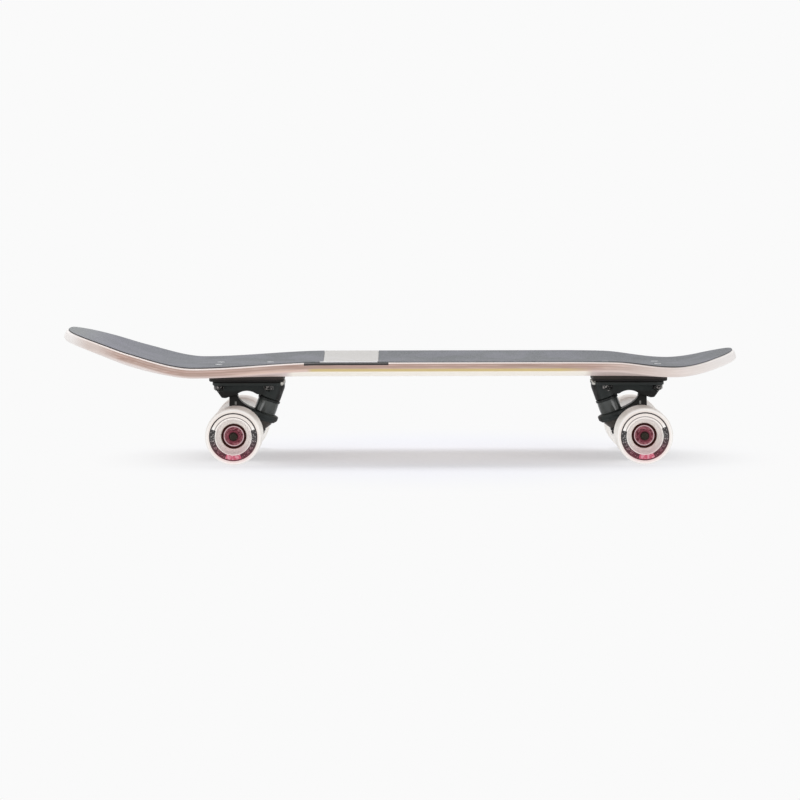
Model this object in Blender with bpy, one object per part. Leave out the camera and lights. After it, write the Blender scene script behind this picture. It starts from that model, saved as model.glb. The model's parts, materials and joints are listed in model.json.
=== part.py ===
"""Cruiser skateboard at its real size, in metres with +Z up.

A pressed maple deck with a long tail and a short nose rides on two kingpin trucks with soft wheels.
+X is the nose, -X the tail, +Y the left side and -Y the right side. The wheels stand on Z = 0.

Each truck is laid out in its own frame: +X points inboard, to the middle of the board, X = 0 is the
axle line and Z is the height above the ground. The front truck is the rear one turned half round.
"""

from math import acos, cos, pi, radians, sin, tan

import bmesh
import bpy
from mathutils import Matrix, Vector

# Board
DECK_LENGTH = 0.7282
DECK_WIDTH = 0.2032
DECK_THICKNESS = 0.0105
DECK_EDGE_RADIUS = 0.003
TAIL_OUTLINE_POWER = 2.7
TAIL_TAPER_LENGTH = 0.143
NOSE_OUTLINE_POWER = 2.3
NOSE_TAPER_LENGTH = 0.191
FLAT_WIDTH = 0.068
CONCAVE_DEPTH = 0.0086
POCKET_DEPTH = 0.0018
KICK_CONCAVE = 0.0071
REAR_CONCAVE_FADE = 0.137
FRONT_CONCAVE_FADE = 0.066
KICK_CONCAVE_FADE = 0.068
TAIL_KICK_FROM_AXLE = 0.0420
NOSE_KICK_FROM_AXLE = 0.0340
TAIL_KICK_ANGLE = radians(21.9)
TAIL_KICK_RADIUS = 0.224
NOSE_KICK_ANGLE = radians(17.8)
NOSE_KICK_RADIUS = 0.132

# Grip tape
GRIP_THICKNESS = 0.0009
GRIP_INSET = 0.0020
BAND_WIDTH = 0.0601
BAND_FROM_REAR_AXLE = 0.0928

# Stance
REAR_AXLE_FROM_TAIL = 0.1870
WHEELBASE = 0.4352
WHEEL_RADIUS = 0.030
TRUCK_HEIGHT = 0.0529

# Riser pad
RISER_THICKNESS = 0.0067
RISER_OUTBOARD = 0.0305
RISER_INBOARD = 0.0501
RISER_WIDTH = 0.057
RISER_CORNER = 0.008

# Baseplate
PLATE_OUTBOARD = 0.0270
PLATE_INBOARD = 0.0507
PLATE_WIDTH = 0.0535
PLATE_THICKNESS = 0.0040
PLATE_CORNER = 0.009
ARCH_CENTRE = 0.0096
ARCH_TOP = 0.0722
ARCH_RADIUS = 0.0172
HOUSING_WIDTH = 0.0240
SLOT_MARGIN = 0.0006
SLOT_OUTBOARD = 0.016
SLOT_INBOARD = 0.0125
SLOT_DEPTH = 0.020

# Deck bolts
BOLT_SPACING_LONG = 0.054
BOLT_SPACING_WIDE = 0.0413
BOLT_OUTBOARD = 0.020
BOLT_RADIUS = 0.0024
BOLT_HEAD_RADIUS = 0.0047
BOLT_HEAD_DEPTH = 0.0026
BOLT_HEAD_SINK = 0.0004
BOLT_TAIL = 0.0012
BOLT_NUT_CORNER = 0.0054
BOLT_NUT_HEIGHT = 0.0050

# Steering: the hanger turns about the line from the pivot nose to the ring's centre
PIVOT = Vector((-0.0093, 0.0, 0.0730))
PIVOT_TILT = radians(-31.0)
NOSE_RADIUS = 0.0049
CUP_WALL = 0.0020
CUP_DEPTH = 0.0028
RING_CENTRE = Vector((0.0270, 0.0, 0.0446))
KINGPIN_TILT = radians(20.0)

# Kingpin and bushings, along the kingpin from the ring's centre
KINGPIN_RADIUS = 0.00475
KINGPIN_HEAD_CORNER = 0.0070
KINGPIN_HEAD_HEIGHT = 0.0055
KINGPIN_NUT_CORNER = 0.0073
KINGPIN_NUT_HEIGHT = 0.0055
KINGPIN_TAIL = 0.0012
BUSHING_RADIUS = 0.0116
BUSHING_BULGE = 0.0003
UPPER_BUSHING_HEIGHT = 0.0151
LOWER_BUSHING_HEIGHT = 0.0098
LOWER_BUSHING_END_RADIUS = 0.0067
WASHER_THICKNESS = 0.0014
WASHER_LIP = 0.0009
BOSS_RADIUS = 0.0118

# Hanger
RING_RADIUS = 0.0162
RING_HOLE_RADIUS = 0.0074
RING_TOP = 0.0040
RING_RIM_BOTTOM = -0.0010
RING_HUB_BOTTOM = -0.0045
SEAT_DEPTH = 0.0010
HANGER_WIDTH = 0.131
HOUSING_END_RADIUS = 0.0082
HOUSING_MIDDLE_RADIUS = 0.0112
HOUSING_RISE = 0.0027
HOUSING_SWELL = 0.62
POST_FACE = -0.0097
WEB_TOP_WIDTH = 0.0130
WEB_DRAFT = 0.22

# Axle, wheels and bearings
AXLE_RADIUS = 0.004
AXLE_TAIL = 0.0023
AXLE_SHOULDER = 0.0005
WHEEL_WIDTH = 0.048
WHEEL_LIP_RADIUS = 0.0045
DISH_RADIUS = 0.0182
DISH_FLOOR_RADIUS = 0.0132
BEARING_RADIUS = 0.01095
BEARING_WIDTH = 0.007
BEARING_OUTER_RING = 0.0014
SHIELD_RECESS = 0.0004
RACE_RADIUS = 0.00605
SPACER_RADIUS = 0.0054
SPACER_LENGTH = 0.010
CORE_BORE_RADIUS = 0.0085
SPEED_WASHER_RADIUS = 0.0063
SPEED_WASHER_THICKNESS = 0.0008
AXLE_NUT_CORNER = 0.0073
AXLE_NUT_HEIGHT = 0.0055
AXLE_NUT_COLLAR = 0.0010

# Clearances and facets
GAP = 0.0003
CUT_OVERRUN = 0.004
MERGE_DISTANCE = 5e-6
TALLEST_KICK = 0.080
EMPTY_SIZE = 0.020
MIDDLE_ROWS = 9
END_ROWS = 10
RAIL_COLUMNS = 3
WHEEL_SIDES = 20
ROUND_SIDES = 16
SMALL_SIDES = 12
STACK_SIDES = 10
HOLE_SIDES = 8

# Places worked out from the sizes above
TAIL_X = -DECK_LENGTH / 2
NOSE_X = DECK_LENGTH / 2
REAR_AXLE_X = TAIL_X + REAR_AXLE_FROM_TAIL
FRONT_AXLE_X = REAR_AXLE_X + WHEELBASE
TAIL_KICK_X = REAR_AXLE_X - TAIL_KICK_FROM_AXLE
NOSE_KICK_X = FRONT_AXLE_X + NOSE_KICK_FROM_AXLE
BAND_REAR_X = REAR_AXLE_X + BAND_FROM_REAR_AXLE
BAND_FRONT_X = BAND_REAR_X + BAND_WIDTH
AXLE_Z = WHEEL_RADIUS
PLATE_TOP_Z = AXLE_Z + TRUCK_HEIGHT
PLATE_BOTTOM_Z = PLATE_TOP_Z - PLATE_THICKNESS
RISER_BOTTOM_Z = PLATE_TOP_Z + GAP
DECK_BOTTOM_Z = RISER_BOTTOM_Z + RISER_THICKNESS + GAP
DECK_MIDDLE_Z = DECK_BOTTOM_Z + DECK_THICKNESS / 2
DECK_TOP_Z = DECK_BOTTOM_Z + DECK_THICKNESS
BOSS_FACE = RING_TOP - SEAT_DEPTH + GAP + UPPER_BUSHING_HEIGHT + GAP + WASHER_THICKNESS + GAP
INNER_BEARING_Y = HANGER_WIDTH / 2 + AXLE_SHOULDER + GAP
STACK_LENGTH = 2 * BEARING_WIDTH + SPACER_LENGTH
WHEEL_Y = INNER_BEARING_Y + STACK_LENGTH / 2
SPEED_WASHER_Y = WHEEL_Y + STACK_LENGTH / 2 + GAP
AXLE_NUT_Y = SPEED_WASHER_Y + SPEED_WASHER_THICKNESS + GAP
AXLE_END_Y = AXLE_NUT_Y + AXLE_NUT_HEIGHT + AXLE_NUT_COLLAR + AXLE_TAIL


# Mesh makers


def finished(bm, name):
    """Merges what meets, turns every face outwards and keeps the mesh under a name."""
    bmesh.ops.remove_doubles(bm, verts=bm.verts, dist=1e-7)
    bmesh.ops.recalc_face_normals(bm, faces=bm.faces)
    mesh = bpy.data.meshes.new(name)
    bm.to_mesh(mesh)
    bm.free()
    return mesh


def turned(name, profile, sides, hex_radii=(), half_step=False):
    """A turned piece about Z from a closed profile of (radius, height) points.

    Points at a radius in hex_radii are pulled in to the six flats of a nut or bolt head.
    """
    bm = bmesh.new()
    start = pi / sides if half_step else 0.0
    verts = [bm.verts.new((r * cos(start), r * sin(start), z)) for r, z in profile]
    for first, second in zip(verts, verts[1:] + verts[:1]):
        if first.co.xy.length > 1e-9 or second.co.xy.length > 1e-9:
            bm.edges.new((first, second))
    bmesh.ops.spin(
        bm,
        geom=bm.verts[:] + bm.edges[:],
        cent=(0.0, 0.0, 0.0),
        axis=(0.0, 0.0, 1.0),
        angle=2 * pi,
        steps=sides,
        use_merge=True,
    )
    for vert in bm.verts:
        radius = vert.co.xy.length
        if any(abs(radius - hexed) < 1e-6 for hexed in hex_radii):
            turn = acos(max(-1.0, min(1.0, vert.co.x / radius))) % (pi / 3)
            vert.co.xy *= cos(pi / 6) / cos(turn - pi / 6)
    return finished(bm, name)


def loft(name, loops, capped=True):
    """A skin through loops of equal point counts, closed at both ends."""
    bm = bmesh.new()
    rings = [[bm.verts.new(point) for point in loop] for loop in loops]
    for ring, following in zip(rings, rings[1:]):
        for i in range(len(ring)):
            j = (i + 1) % len(ring)
            bm.faces.new((ring[i], ring[j], following[j], following[i]))
    if capped:
        bm.faces.new(rings[0])
        bm.faces.new(rings[-1])
    return finished(bm, name)


def slab(name, outline, bottom, top):
    """A flat plate from an (x, y) outline."""
    return loft(name, [[(x, y, z) for x, y in outline] for z in (bottom, top)])


def side_profile(name, outline, half_width):
    """A casting drawn from the side: an (x, z) outline whose half width is a function of x and z."""
    return loft(name, [[(x, s * half_width(x, z), z) for x, z in outline] for s in (-1, 1)])


def rounded_rectangle(x_low, x_high, width, corner, steps=3):
    """The (x, y) outline of a rectangle centred on Y = 0 with round corners."""
    outline = []
    corners = (
        (x_high - corner, width / 2 - corner, 0.0),
        (x_low + corner, width / 2 - corner, pi / 2),
        (x_low + corner, corner - width / 2, pi),
        (x_high - corner, corner - width / 2, 3 * pi / 2),
    )
    for x, y, start in corners:
        for step in range(steps + 1):
            angle = start + step * pi / 2 / steps
            outline.append((x + corner * cos(angle), y + corner * sin(angle)))
    return outline


def arc(centre, radius, start, end, steps):
    """Points of a round stretch, as (across, up) pairs."""
    angles = [start + (end - start) * step / steps for step in range(steps + 1)]
    return [(centre[0] + radius * cos(a), centre[1] + radius * sin(a)) for a in angles]


def placed(mesh, at=(0.0, 0.0, 0.0), tilt=0.0):
    """Leans a mesh about Y and moves it."""
    mesh.transform(Matrix.Translation(at) @ Matrix.Rotation(tilt, 4, "Y"))
    return mesh


def combined(name, mesh, joins=(), within=(), cuts=()):
    """Fuses the joins into a mesh, keeps what lies within the outlines and takes the cuts out of it."""
    scene = bpy.context.scene.collection.objects
    base = bpy.data.objects.new(name, mesh)
    scene.link(base)
    tools = []
    steps = [(tool, "UNION") for tool in joins]
    steps += [(tool, "INTERSECT") for tool in within]
    steps += [(tool, "DIFFERENCE") for tool in cuts]
    for tool, operation in steps:
        helper = bpy.data.objects.new(tool.name, tool)
        helper.hide_render = True
        helper.display_type = "WIRE"
        scene.link(helper)
        tools.append(helper)
        modifier = base.modifiers.new(tool.name, "BOOLEAN")
        modifier.operation = operation
        modifier.object = helper
        modifier.solver = "EXACT"
    graph = bpy.context.evaluated_depsgraph_get()
    result = bpy.data.meshes.new_from_object(base.evaluated_get(graph))
    for helper in tools + [base]:
        bpy.data.objects.remove(helper)
    bm = bmesh.new()
    bm.from_mesh(result)
    bmesh.ops.remove_doubles(bm, verts=bm.verts, dist=MERGE_DISTANCE)
    bmesh.ops.dissolve_degenerate(bm, edges=bm.edges, dist=MERGE_DISTANCE)
    bm.to_mesh(result)
    bm.free()
    result.name = name
    return result


def material(name, colour, roughness, metallic=0.0):
    made = bpy.data.materials.new(name)
    made.use_nodes = True
    shader = made.node_tree.nodes["Principled BSDF"]
    shader.inputs["Base Color"].default_value = (*colour, 1.0)
    shader.inputs["Roughness"].default_value = roughness
    shader.inputs["Metallic"].default_value = metallic
    made.diffuse_color = (*colour, 1.0)
    return made


def add_empty(name, at, parent=None, turn=0.0):
    empty = bpy.data.objects.new(name, None)
    empty.empty_display_size = EMPTY_SIZE
    bpy.context.scene.collection.objects.link(empty)
    empty.parent = parent
    empty.location = at
    empty.rotation_euler.z = turn
    return empty


def add_piece(name, mesh, finish, parent, at=(0.0, 0.0, 0.0), turn=(0.0, 0.0, 0.0)):
    """Places one named piece. A mesh may serve several pieces."""
    if not mesh.materials:
        mesh.materials.append(finish)
        mesh.shade_smooth()
        mesh.set_sharp_from_angle(angle=radians(32))
    piece = bpy.data.objects.new(name, mesh)
    bpy.context.scene.collection.objects.link(piece)
    piece.parent = parent
    piece.location = at
    piece.rotation_euler = turn
    return piece


# The board's curved surface


def smooth_step(start, end, x):
    t = min(max((x - start) / (end - start), 0.0), 1.0)
    return t * t * (3.0 - 2.0 * t)


def arc_then_slope(distance, radius, angle):
    """The rise of a kick: a round bend, then a straight slope."""
    if distance <= 0.0:
        return 0.0
    bend = radius * sin(angle)
    if distance < bend:
        return radius - (radius**2 - distance**2) ** 0.5
    return radius * (1 - cos(angle)) + (distance - bend) * tan(angle)


def kick_rise(x):
    tail = arc_then_slope(TAIL_KICK_X - x, TAIL_KICK_RADIUS, TAIL_KICK_ANGLE)
    return tail + arc_then_slope(x - NOSE_KICK_X, NOSE_KICK_RADIUS, NOSE_KICK_ANGLE)


def concave_at(x):
    """How far the rails stand above the centre: full between the trucks, least where the kicks start."""
    rear = smooth_step(TAIL_KICK_X, TAIL_KICK_X + REAR_CONCAVE_FADE, x)
    front = smooth_step(NOSE_KICK_X, NOSE_KICK_X - FRONT_CONCAVE_FADE, x)
    kick = smooth_step(0.0, KICK_CONCAVE_FADE, max(TAIL_KICK_X - x, x - NOSE_KICK_X))
    between = (CONCAVE_DEPTH - POCKET_DEPTH) * min(rear, front)
    return POCKET_DEPTH + between + (KICK_CONCAVE - POCKET_DEPTH) * kick


def board_height(x, y):
    beyond_flat = max(abs(y) - FLAT_WIDTH / 2, 0.0)
    share = beyond_flat / (DECK_WIDTH / 2 - FLAT_WIDTH / 2)
    return DECK_MIDDLE_Z + kick_rise(x) + concave_at(x) * share**2


def board_point(x, y, up, out=0.0, outward=(0.0, 1.0)):
    """A point on the board's middle surface, moved up along its normal and out along the surface."""
    step = 1e-5
    slope_x = (board_height(x + step, y) - board_height(x - step, y)) / (2 * step)
    slope_y = (board_height(x, y + step) - board_height(x, y - step)) / (2 * step)
    normal = Vector((-slope_x, -slope_y, 1.0)).normalized()
    rise = slope_x * outward[0] + slope_y * outward[1]
    along = Vector((outward[0], outward[1], rise)).normalized()
    return Vector((x, y, board_height(x, y))) + normal * up + along * out


def outline_rows():
    """The board's outline as rows of (x, half width, outward normal in plan), tail to nose."""
    quarter = [step * pi / 2 / END_ROWS for step in range(END_ROWS + 1)]

    def end_row(tip_x, taper, power, towards_middle, angle):
        along = max(cos(angle), 0.0) ** (2 / power)
        across = sin(angle) ** (2 / power)
        x = tip_x + towards_middle * taper * (1 - along)
        normal = Vector(
            (
                -towards_middle * along ** (power - 1) / taper,
                across ** (power - 1) / (DECK_WIDTH / 2),
            )
        ).normalized()
        return x, DECK_WIDTH / 2 * across, normal.x, normal.y

    tail = [end_row(TAIL_X, TAIL_TAPER_LENGTH, TAIL_OUTLINE_POWER, 1, angle) for angle in quarter]
    nose = [end_row(NOSE_X, NOSE_TAPER_LENGTH, NOSE_OUTLINE_POWER, -1, angle) for angle in quarter]
    nose.reverse()
    low = tail[-1][0]
    spacing = (nose[0][0] - low) / (MIDDLE_ROWS + 1)
    straight = [(low + spacing * row, DECK_WIDTH / 2, 0.0, 1.0) for row in range(1, MIDDLE_ROWS + 1)]
    return tail + straight + nose


def columns(half_width):
    """Places across a row: the flat's two edges, then even steps to each rail."""
    flat = min(FLAT_WIDTH / 2, 0.45 * half_width)
    right = [flat + (half_width - flat) * step / RAIL_COLUMNS for step in range(RAIL_COLUMNS + 1)]
    return [-y for y in reversed(right)] + right


def board_loop(row, top, bottom, rim):
    """One closed cross-section of a layer of the board.

    The top and bottom stop short of the outline by the deck's edge radius. The rim goes on from there, as
    points (out, up) from top to bottom.
    """
    x_edge, half_width, normal_x, normal_y = row
    x = x_edge - normal_x * DECK_EDGE_RADIUS
    y_edge = half_width - normal_y * DECK_EDGE_RADIUS
    across = columns(y_edge)
    over = [board_point(x, y, top) for y in across]
    left = [board_point(x, y_edge, up, out, (normal_x, normal_y)) for out, up in rim]
    under = [board_point(x, y, bottom) for y in reversed(across)]
    right = [board_point(x, -y_edge, up, out, (normal_x, -normal_y)) for out, up in reversed(rim)]
    return over + left + under + right


def board_layer(name, top, bottom, rim):
    """One layer of the board, cut into triangles so that every layer has the same facets."""
    layer = loft(name, [board_loop(row, top, bottom, rim) for row in outline_rows()], capped=False)
    bm = bmesh.new()
    bm.from_mesh(layer)
    bmesh.ops.triangulate(bm, faces=bm.faces, quad_method="SHORT_EDGE")
    bm.to_mesh(layer)
    bm.free()
    return layer


def bolt_places():
    """Where the deck bolts stand, in the truck's frame."""
    lengthwise = (-BOLT_OUTBOARD, BOLT_SPACING_LONG - BOLT_OUTBOARD)
    return [(x, y * BOLT_SPACING_WIDE / 2) for x in lengthwise for y in (-1, 1)]


def board_holes(name, profile):
    """Cutters turned from one profile, one at each bolt of both trucks."""
    bm = bmesh.new()
    cutter = turned(name, profile, HOLE_SIDES)
    for axle_x, facing in ((REAR_AXLE_X, 1), (FRONT_AXLE_X, -1)):
        for x, y in bolt_places():
            moved = cutter.copy()
            moved.transform(Matrix.Translation((axle_x + facing * x, facing * y, 0.0)))
            bm.from_mesh(moved)
            bpy.data.meshes.remove(moved)
    return finished(bm, name)


def truck_holes(name, radius, bottom, top):
    """Four upright bolt holes in the truck's frame."""
    bm = bmesh.new()
    hole = turned(name, [(0.0, bottom), (radius, bottom), (radius, top), (0.0, top)], HOLE_SIDES)
    for x, y in bolt_places():
        moved = hole.copy()
        moved.transform(Matrix.Translation((x, y, 0.0)))
        bm.from_mesh(moved)
        bpy.data.meshes.remove(moved)
    return finished(bm, name)


def bolt_head_z():
    return DECK_TOP_Z + GAP + GRIP_THICKNESS - BOLT_HEAD_SINK


def make_deck():
    half = DECK_THICKNESS / 2
    radius = DECK_EDGE_RADIUS
    slant = radius * cos(pi / 4)
    upper = [(slant, half - radius + slant), (radius, half - radius)]
    lower = [(radius, radius - half), (slant, radius - half - slant)]
    body = board_layer("deck", half, -half, upper + lower)
    head_z = bolt_head_z()
    clear = BOLT_RADIUS + GAP
    neck_z = head_z - BOLT_HEAD_DEPTH - GAP
    holes = board_holes(
        "deck_holes",
        [
            (0.0, DECK_BOTTOM_Z - CUT_OVERRUN),
            (clear, DECK_BOTTOM_Z - CUT_OVERRUN),
            (clear, neck_z),
            (BOLT_HEAD_RADIUS + GAP, head_z - GAP),
            (BOLT_HEAD_RADIUS + GAP, DECK_TOP_Z + CUT_OVERRUN),
            (0.0, DECK_TOP_Z + CUT_OVERRUN),
        ],
    )
    return combined("deck", body, cuts=[holes])


def make_grip(name, x_low, x_high):
    """A sheet of grip tape from one x to another, on the deck's own facets."""
    low = DECK_THICKNESS / 2 + GAP
    high = low + GRIP_THICKNESS
    reach = DECK_EDGE_RADIUS - GRIP_INSET / 2
    layer = board_layer(name, high, low, [(reach, high), (reach, low)])
    edge = []
    for x, half_width, normal_x, normal_y in outline_rows():
        place = (x - normal_x * GRIP_INSET, half_width - normal_y * GRIP_INSET)
        if x_low < place[0] < x_high:
            edge.append(place)
    straight = DECK_WIDTH / 2 - GRIP_INSET
    if x_low > TAIL_X:
        edge.insert(0, (x_low + GAP / 2, straight))
    if x_high < NOSE_X:
        edge.append((x_high - GAP / 2, straight))
    other = [(x, -y) for x, y in reversed(edge) if y > 1e-6]
    knife = slab(name + "_outline", edge + other, DECK_BOTTOM_Z, DECK_TOP_Z + TALLEST_KICK)
    head = BOLT_HEAD_RADIUS + GAP
    bottom = DECK_TOP_Z - CUT_OVERRUN
    top = DECK_TOP_Z + CUT_OVERRUN
    holes = board_holes(name + "_holes", [(0.0, bottom), (head, bottom), (head, top), (0.0, top)])
    return combined(name, layer, within=[knife], cuts=[holes])


# Truck pieces that stay with the deck


def make_riser():
    outline = rounded_rectangle(-RISER_OUTBOARD, RISER_INBOARD, RISER_WIDTH, RISER_CORNER)
    pad = slab("riser_pad", outline, RISER_BOTTOM_Z, RISER_BOTTOM_Z + RISER_THICKNESS)
    holes = truck_holes(
        "riser_holes",
        BOLT_RADIUS + GAP,
        RISER_BOTTOM_Z - CUT_OVERRUN,
        DECK_BOTTOM_Z + CUT_OVERRUN,
    )
    return combined("riser_pad", pad, cuts=[holes])


def make_baseplate():
    """The casting under the riser: flange, pivot housing, arch and kingpin boss."""
    inside = PLATE_BOTTOM_Z + PLATE_THICKNESS / 2
    outline = rounded_rectangle(-PLATE_OUTBOARD, PLATE_INBOARD, PLATE_WIDTH, PLATE_CORNER)
    flange = slab("baseplate", outline, PLATE_BOTTOM_Z, PLATE_TOP_Z)

    def along_kingpin(across, up):
        """A point given across and along the kingpin, as (x, z)."""
        x = RING_CENTRE.x + across * cos(KINGPIN_TILT) + up * sin(KINGPIN_TILT)
        return x, RING_CENTRE.z - across * sin(KINGPIN_TILT) + up * cos(KINGPIN_TILT)

    mouth = Vector((sin(PIVOT_TILT), 0.0, cos(PIVOT_TILT)))
    mouth_point = PIVOT - mouth * (CUP_DEPTH + GAP)
    toe_z = ARCH_TOP - 0.0080
    arch_middle = (ARCH_CENTRE, ARCH_TOP - ARCH_RADIUS)
    arch = arc(arch_middle, ARCH_RADIUS, radians(133), radians(52), 6)
    body_outline = [
        (-PLATE_OUTBOARD + 0.0010, inside),
        (-PLATE_OUTBOARD + 0.0013, PLATE_BOTTOM_Z - 0.0028),
        (PIVOT.x - 0.0084, toe_z + 0.0004),
        (PIVOT.x - 0.0042, toe_z),
        (PIVOT.x, toe_z + 0.0014),
        *arch,
        along_kingpin(-BOSS_RADIUS * 0.55, BOSS_FACE + 0.0015),
        along_kingpin(BOSS_RADIUS * 0.80, BOSS_FACE + 0.0080),
        (PLATE_INBOARD - 0.0040, inside),
    ]
    body = side_profile(
        "baseplate_body",
        body_outline,
        lambda x, z: HOUSING_WIDTH / 2 - 0.03 * (x + PLATE_OUTBOARD) - 0.10 * (PLATE_BOTTOM_Z - z),
    )
    boss_top = (PLATE_TOP_Z + CUT_OVERRUN - RING_CENTRE.z) / cos(KINGPIN_TILT)
    boss = turned(
        "kingpin_boss",
        [
            (0.0, BOSS_FACE),
            (BOSS_RADIUS - 0.0008, BOSS_FACE),
            (BOSS_RADIUS, BOSS_FACE + 0.0008),
            (BOSS_RADIUS, boss_top),
            (0.0, boss_top),
        ],
        ROUND_SIDES,
    )
    placed(boss, RING_CENTRE, KINGPIN_TILT)
    below_flange = slab("below_flange", outline, RING_CENTRE.z, inside)
    boss = combined("kingpin_boss", boss, within=[below_flange])
    return combined(
        "baseplate",
        flange,
        joins=[body, boss],
        cuts=[pivot_socket(), pivot_slot(mouth_point), kingpin_bore(), plate_holes()],
    )


def plate_holes():
    return truck_holes(
        "plate_holes", BOLT_RADIUS + GAP, PLATE_BOTTOM_Z - CUT_OVERRUN, PLATE_TOP_Z + CUT_OVERRUN
    )


def pivot_socket():
    """The round-bottomed socket that holds the pivot cup."""
    radius = NOSE_RADIUS + GAP + CUP_WALL + GAP
    dome = arc((0.0, 0.0), radius, pi / 2, 0.0, 5)
    profile = [(max(r, 0.0), z) for r, z in dome]
    profile += [(radius, -CUP_DEPTH - GAP - CUT_OVERRUN), (0.0, -CUP_DEPTH - GAP - CUT_OVERRUN)]
    socket = turned("pivot_socket", profile, ROUND_SIDES, half_step=True)
    return placed(socket, PIVOT, PIVOT_TILT)


def pivot_slot(mouth_point):
    """The room below the socket's mouth in which the hanger's nose swings."""
    half_width = NOSE_RADIUS + GAP + CUP_WALL + GAP + SLOT_MARGIN
    along = Vector((cos(PIVOT_TILT), 0.0, -sin(PIVOT_TILT)))
    low = mouth_point - along * SLOT_OUTBOARD
    high = mouth_point + along * SLOT_INBOARD
    floor = high.z - SLOT_DEPTH
    outline = [(low.x, low.z), (high.x, high.z), (high.x, floor), (low.x, floor)]
    return side_profile("pivot_slot", outline, lambda x, z: half_width)


def kingpin_bore():
    """The kingpin's hole with the pocket for its head."""
    clear = KINGPIN_RADIUS + GAP
    pocket = KINGPIN_HEAD_CORNER + GAP
    top = (PLATE_TOP_Z + 2 * CUT_OVERRUN - RING_CENTRE.z) / cos(KINGPIN_TILT)
    seat = kingpin_seat() - GAP
    profile = [
        (0.0, BOSS_FACE - CUT_OVERRUN),
        (clear, BOSS_FACE - CUT_OVERRUN),
        (clear, seat),
        (pocket, seat),
        (pocket, top),
        (0.0, top),
    ]
    bore = turned("kingpin_bore", profile, ROUND_SIDES, half_step=True)
    return placed(bore, RING_CENTRE, KINGPIN_TILT)


def kingpin_seat():
    """Where the underside of the kingpin's head lies, so that the head stays below the plate's top."""
    lean = KINGPIN_HEAD_CORNER * sin(KINGPIN_TILT)
    top = (PLATE_TOP_Z - GAP - lean - RING_CENTRE.z) / cos(KINGPIN_TILT)
    return top - KINGPIN_HEAD_HEIGHT


def make_pivot_cup():
    outer = NOSE_RADIUS + GAP + CUP_WALL
    inner = NOSE_RADIUS + GAP
    outside = arc((0.0, 0.0), outer, pi / 2, 0.0, 4)
    inside = arc((0.0, 0.0), inner, 0.0, pi / 2, 4)
    profile = [(max(r, 0.0), z) for r, z in outside]
    profile += [(outer, -CUP_DEPTH), (inner + 0.0007, -CUP_DEPTH)]
    profile += [(max(r, 0.0), z) for r, z in inside]
    profile[0] = (0.0, outer)
    profile[-1] = (0.0, inner)
    return turned("pivot_cup", profile, SMALL_SIDES)


def lower_seat():
    return RING_HUB_BOTTOM + SEAT_DEPTH - GAP


def nut_top():
    return lower_seat() - LOWER_BUSHING_HEIGHT - GAP - WASHER_THICKNESS - GAP


def make_kingpin():
    seat = kingpin_seat()
    tail = nut_top() - KINGPIN_NUT_HEIGHT - KINGPIN_TAIL
    head = KINGPIN_HEAD_CORNER
    profile = [
        (0.0, tail),
        (KINGPIN_RADIUS - 0.0008, tail),
        (KINGPIN_RADIUS, tail + 0.0008),
        (KINGPIN_RADIUS, seat),
        (head, seat),
        (head, seat + KINGPIN_HEAD_HEIGHT),
        (0.0, seat + KINGPIN_HEAD_HEIGHT),
    ]
    return turned("kingpin", profile, SMALL_SIDES, hex_radii=(head,))


def cupped_washer(name, face, radius, lip_towards):
    """A pressed washer with its lip turned towards the bushing; face is the side away from the bushing."""
    bore = KINGPIN_RADIUS + GAP
    inner = face + lip_towards * WASHER_THICKNESS
    tip = inner + lip_towards * WASHER_LIP
    profile = [
        (bore, face),
        (radius + 0.0008, face),
        (radius + 0.0008, tip),
        (radius + GAP, tip),
        (radius + GAP, inner),
        (bore, inner),
    ]
    return turned(name, profile, ROUND_SIDES)


def make_upper_bushing():
    bore = KINGPIN_RADIUS + GAP
    low = RING_TOP - SEAT_DEPTH + GAP
    high = low + UPPER_BUSHING_HEIGHT
    profile = [
        (bore, low),
        (BUSHING_RADIUS - 0.0006, low),
        (BUSHING_RADIUS, low + 0.0010),
        (BUSHING_RADIUS + BUSHING_BULGE, (low + high) / 2),
        (BUSHING_RADIUS, high - 0.0010),
        (BUSHING_RADIUS - 0.0006, high),
        (bore, high),
    ]
    return turned("upper_bushing", profile, ROUND_SIDES)


def make_lower_bushing():
    bore = KINGPIN_RADIUS + GAP
    high = lower_seat()
    low = high - LOWER_BUSHING_HEIGHT
    profile = [
        (bore, low),
        (LOWER_BUSHING_END_RADIUS - 0.0005, low),
        (LOWER_BUSHING_END_RADIUS, low + 0.0008),
        (BUSHING_RADIUS, high - 0.0022),
        (BUSHING_RADIUS, high),
        (bore, high),
    ]
    return turned("lower_bushing", profile, ROUND_SIDES)


def make_kingpin_nut():
    bore = KINGPIN_RADIUS + GAP
    top = nut_top()
    low = top - KINGPIN_NUT_HEIGHT
    corner = KINGPIN_NUT_CORNER
    profile = [
        (bore, low),
        (corner * 0.84, low),
        (corner, low + 0.0008),
        (corner, top),
        (bore, top),
    ]
    return turned("kingpin_nut", profile, SMALL_SIDES, hex_radii=(corner,))


def make_deck_bolt():
    """A countersunk bolt with the nut that clamps the truck to the deck."""
    head_z = bolt_head_z()
    nut_z = PLATE_BOTTOM_Z - GAP
    corner = BOLT_NUT_CORNER
    profile = [
        (0.0, nut_z - BOLT_NUT_HEIGHT - BOLT_TAIL),
        (BOLT_RADIUS, nut_z - BOLT_NUT_HEIGHT - BOLT_TAIL),
        (corner, nut_z - BOLT_NUT_HEIGHT),
        (corner, nut_z),
        (BOLT_RADIUS, nut_z),
        (BOLT_RADIUS, head_z - BOLT_HEAD_DEPTH),
        (BOLT_HEAD_RADIUS, head_z),
        (0.0, head_z),
    ]
    return turned("deck_bolt", profile, SMALL_SIDES, hex_radii=(corner,))


# Truck pieces that turn with the hanger


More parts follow.
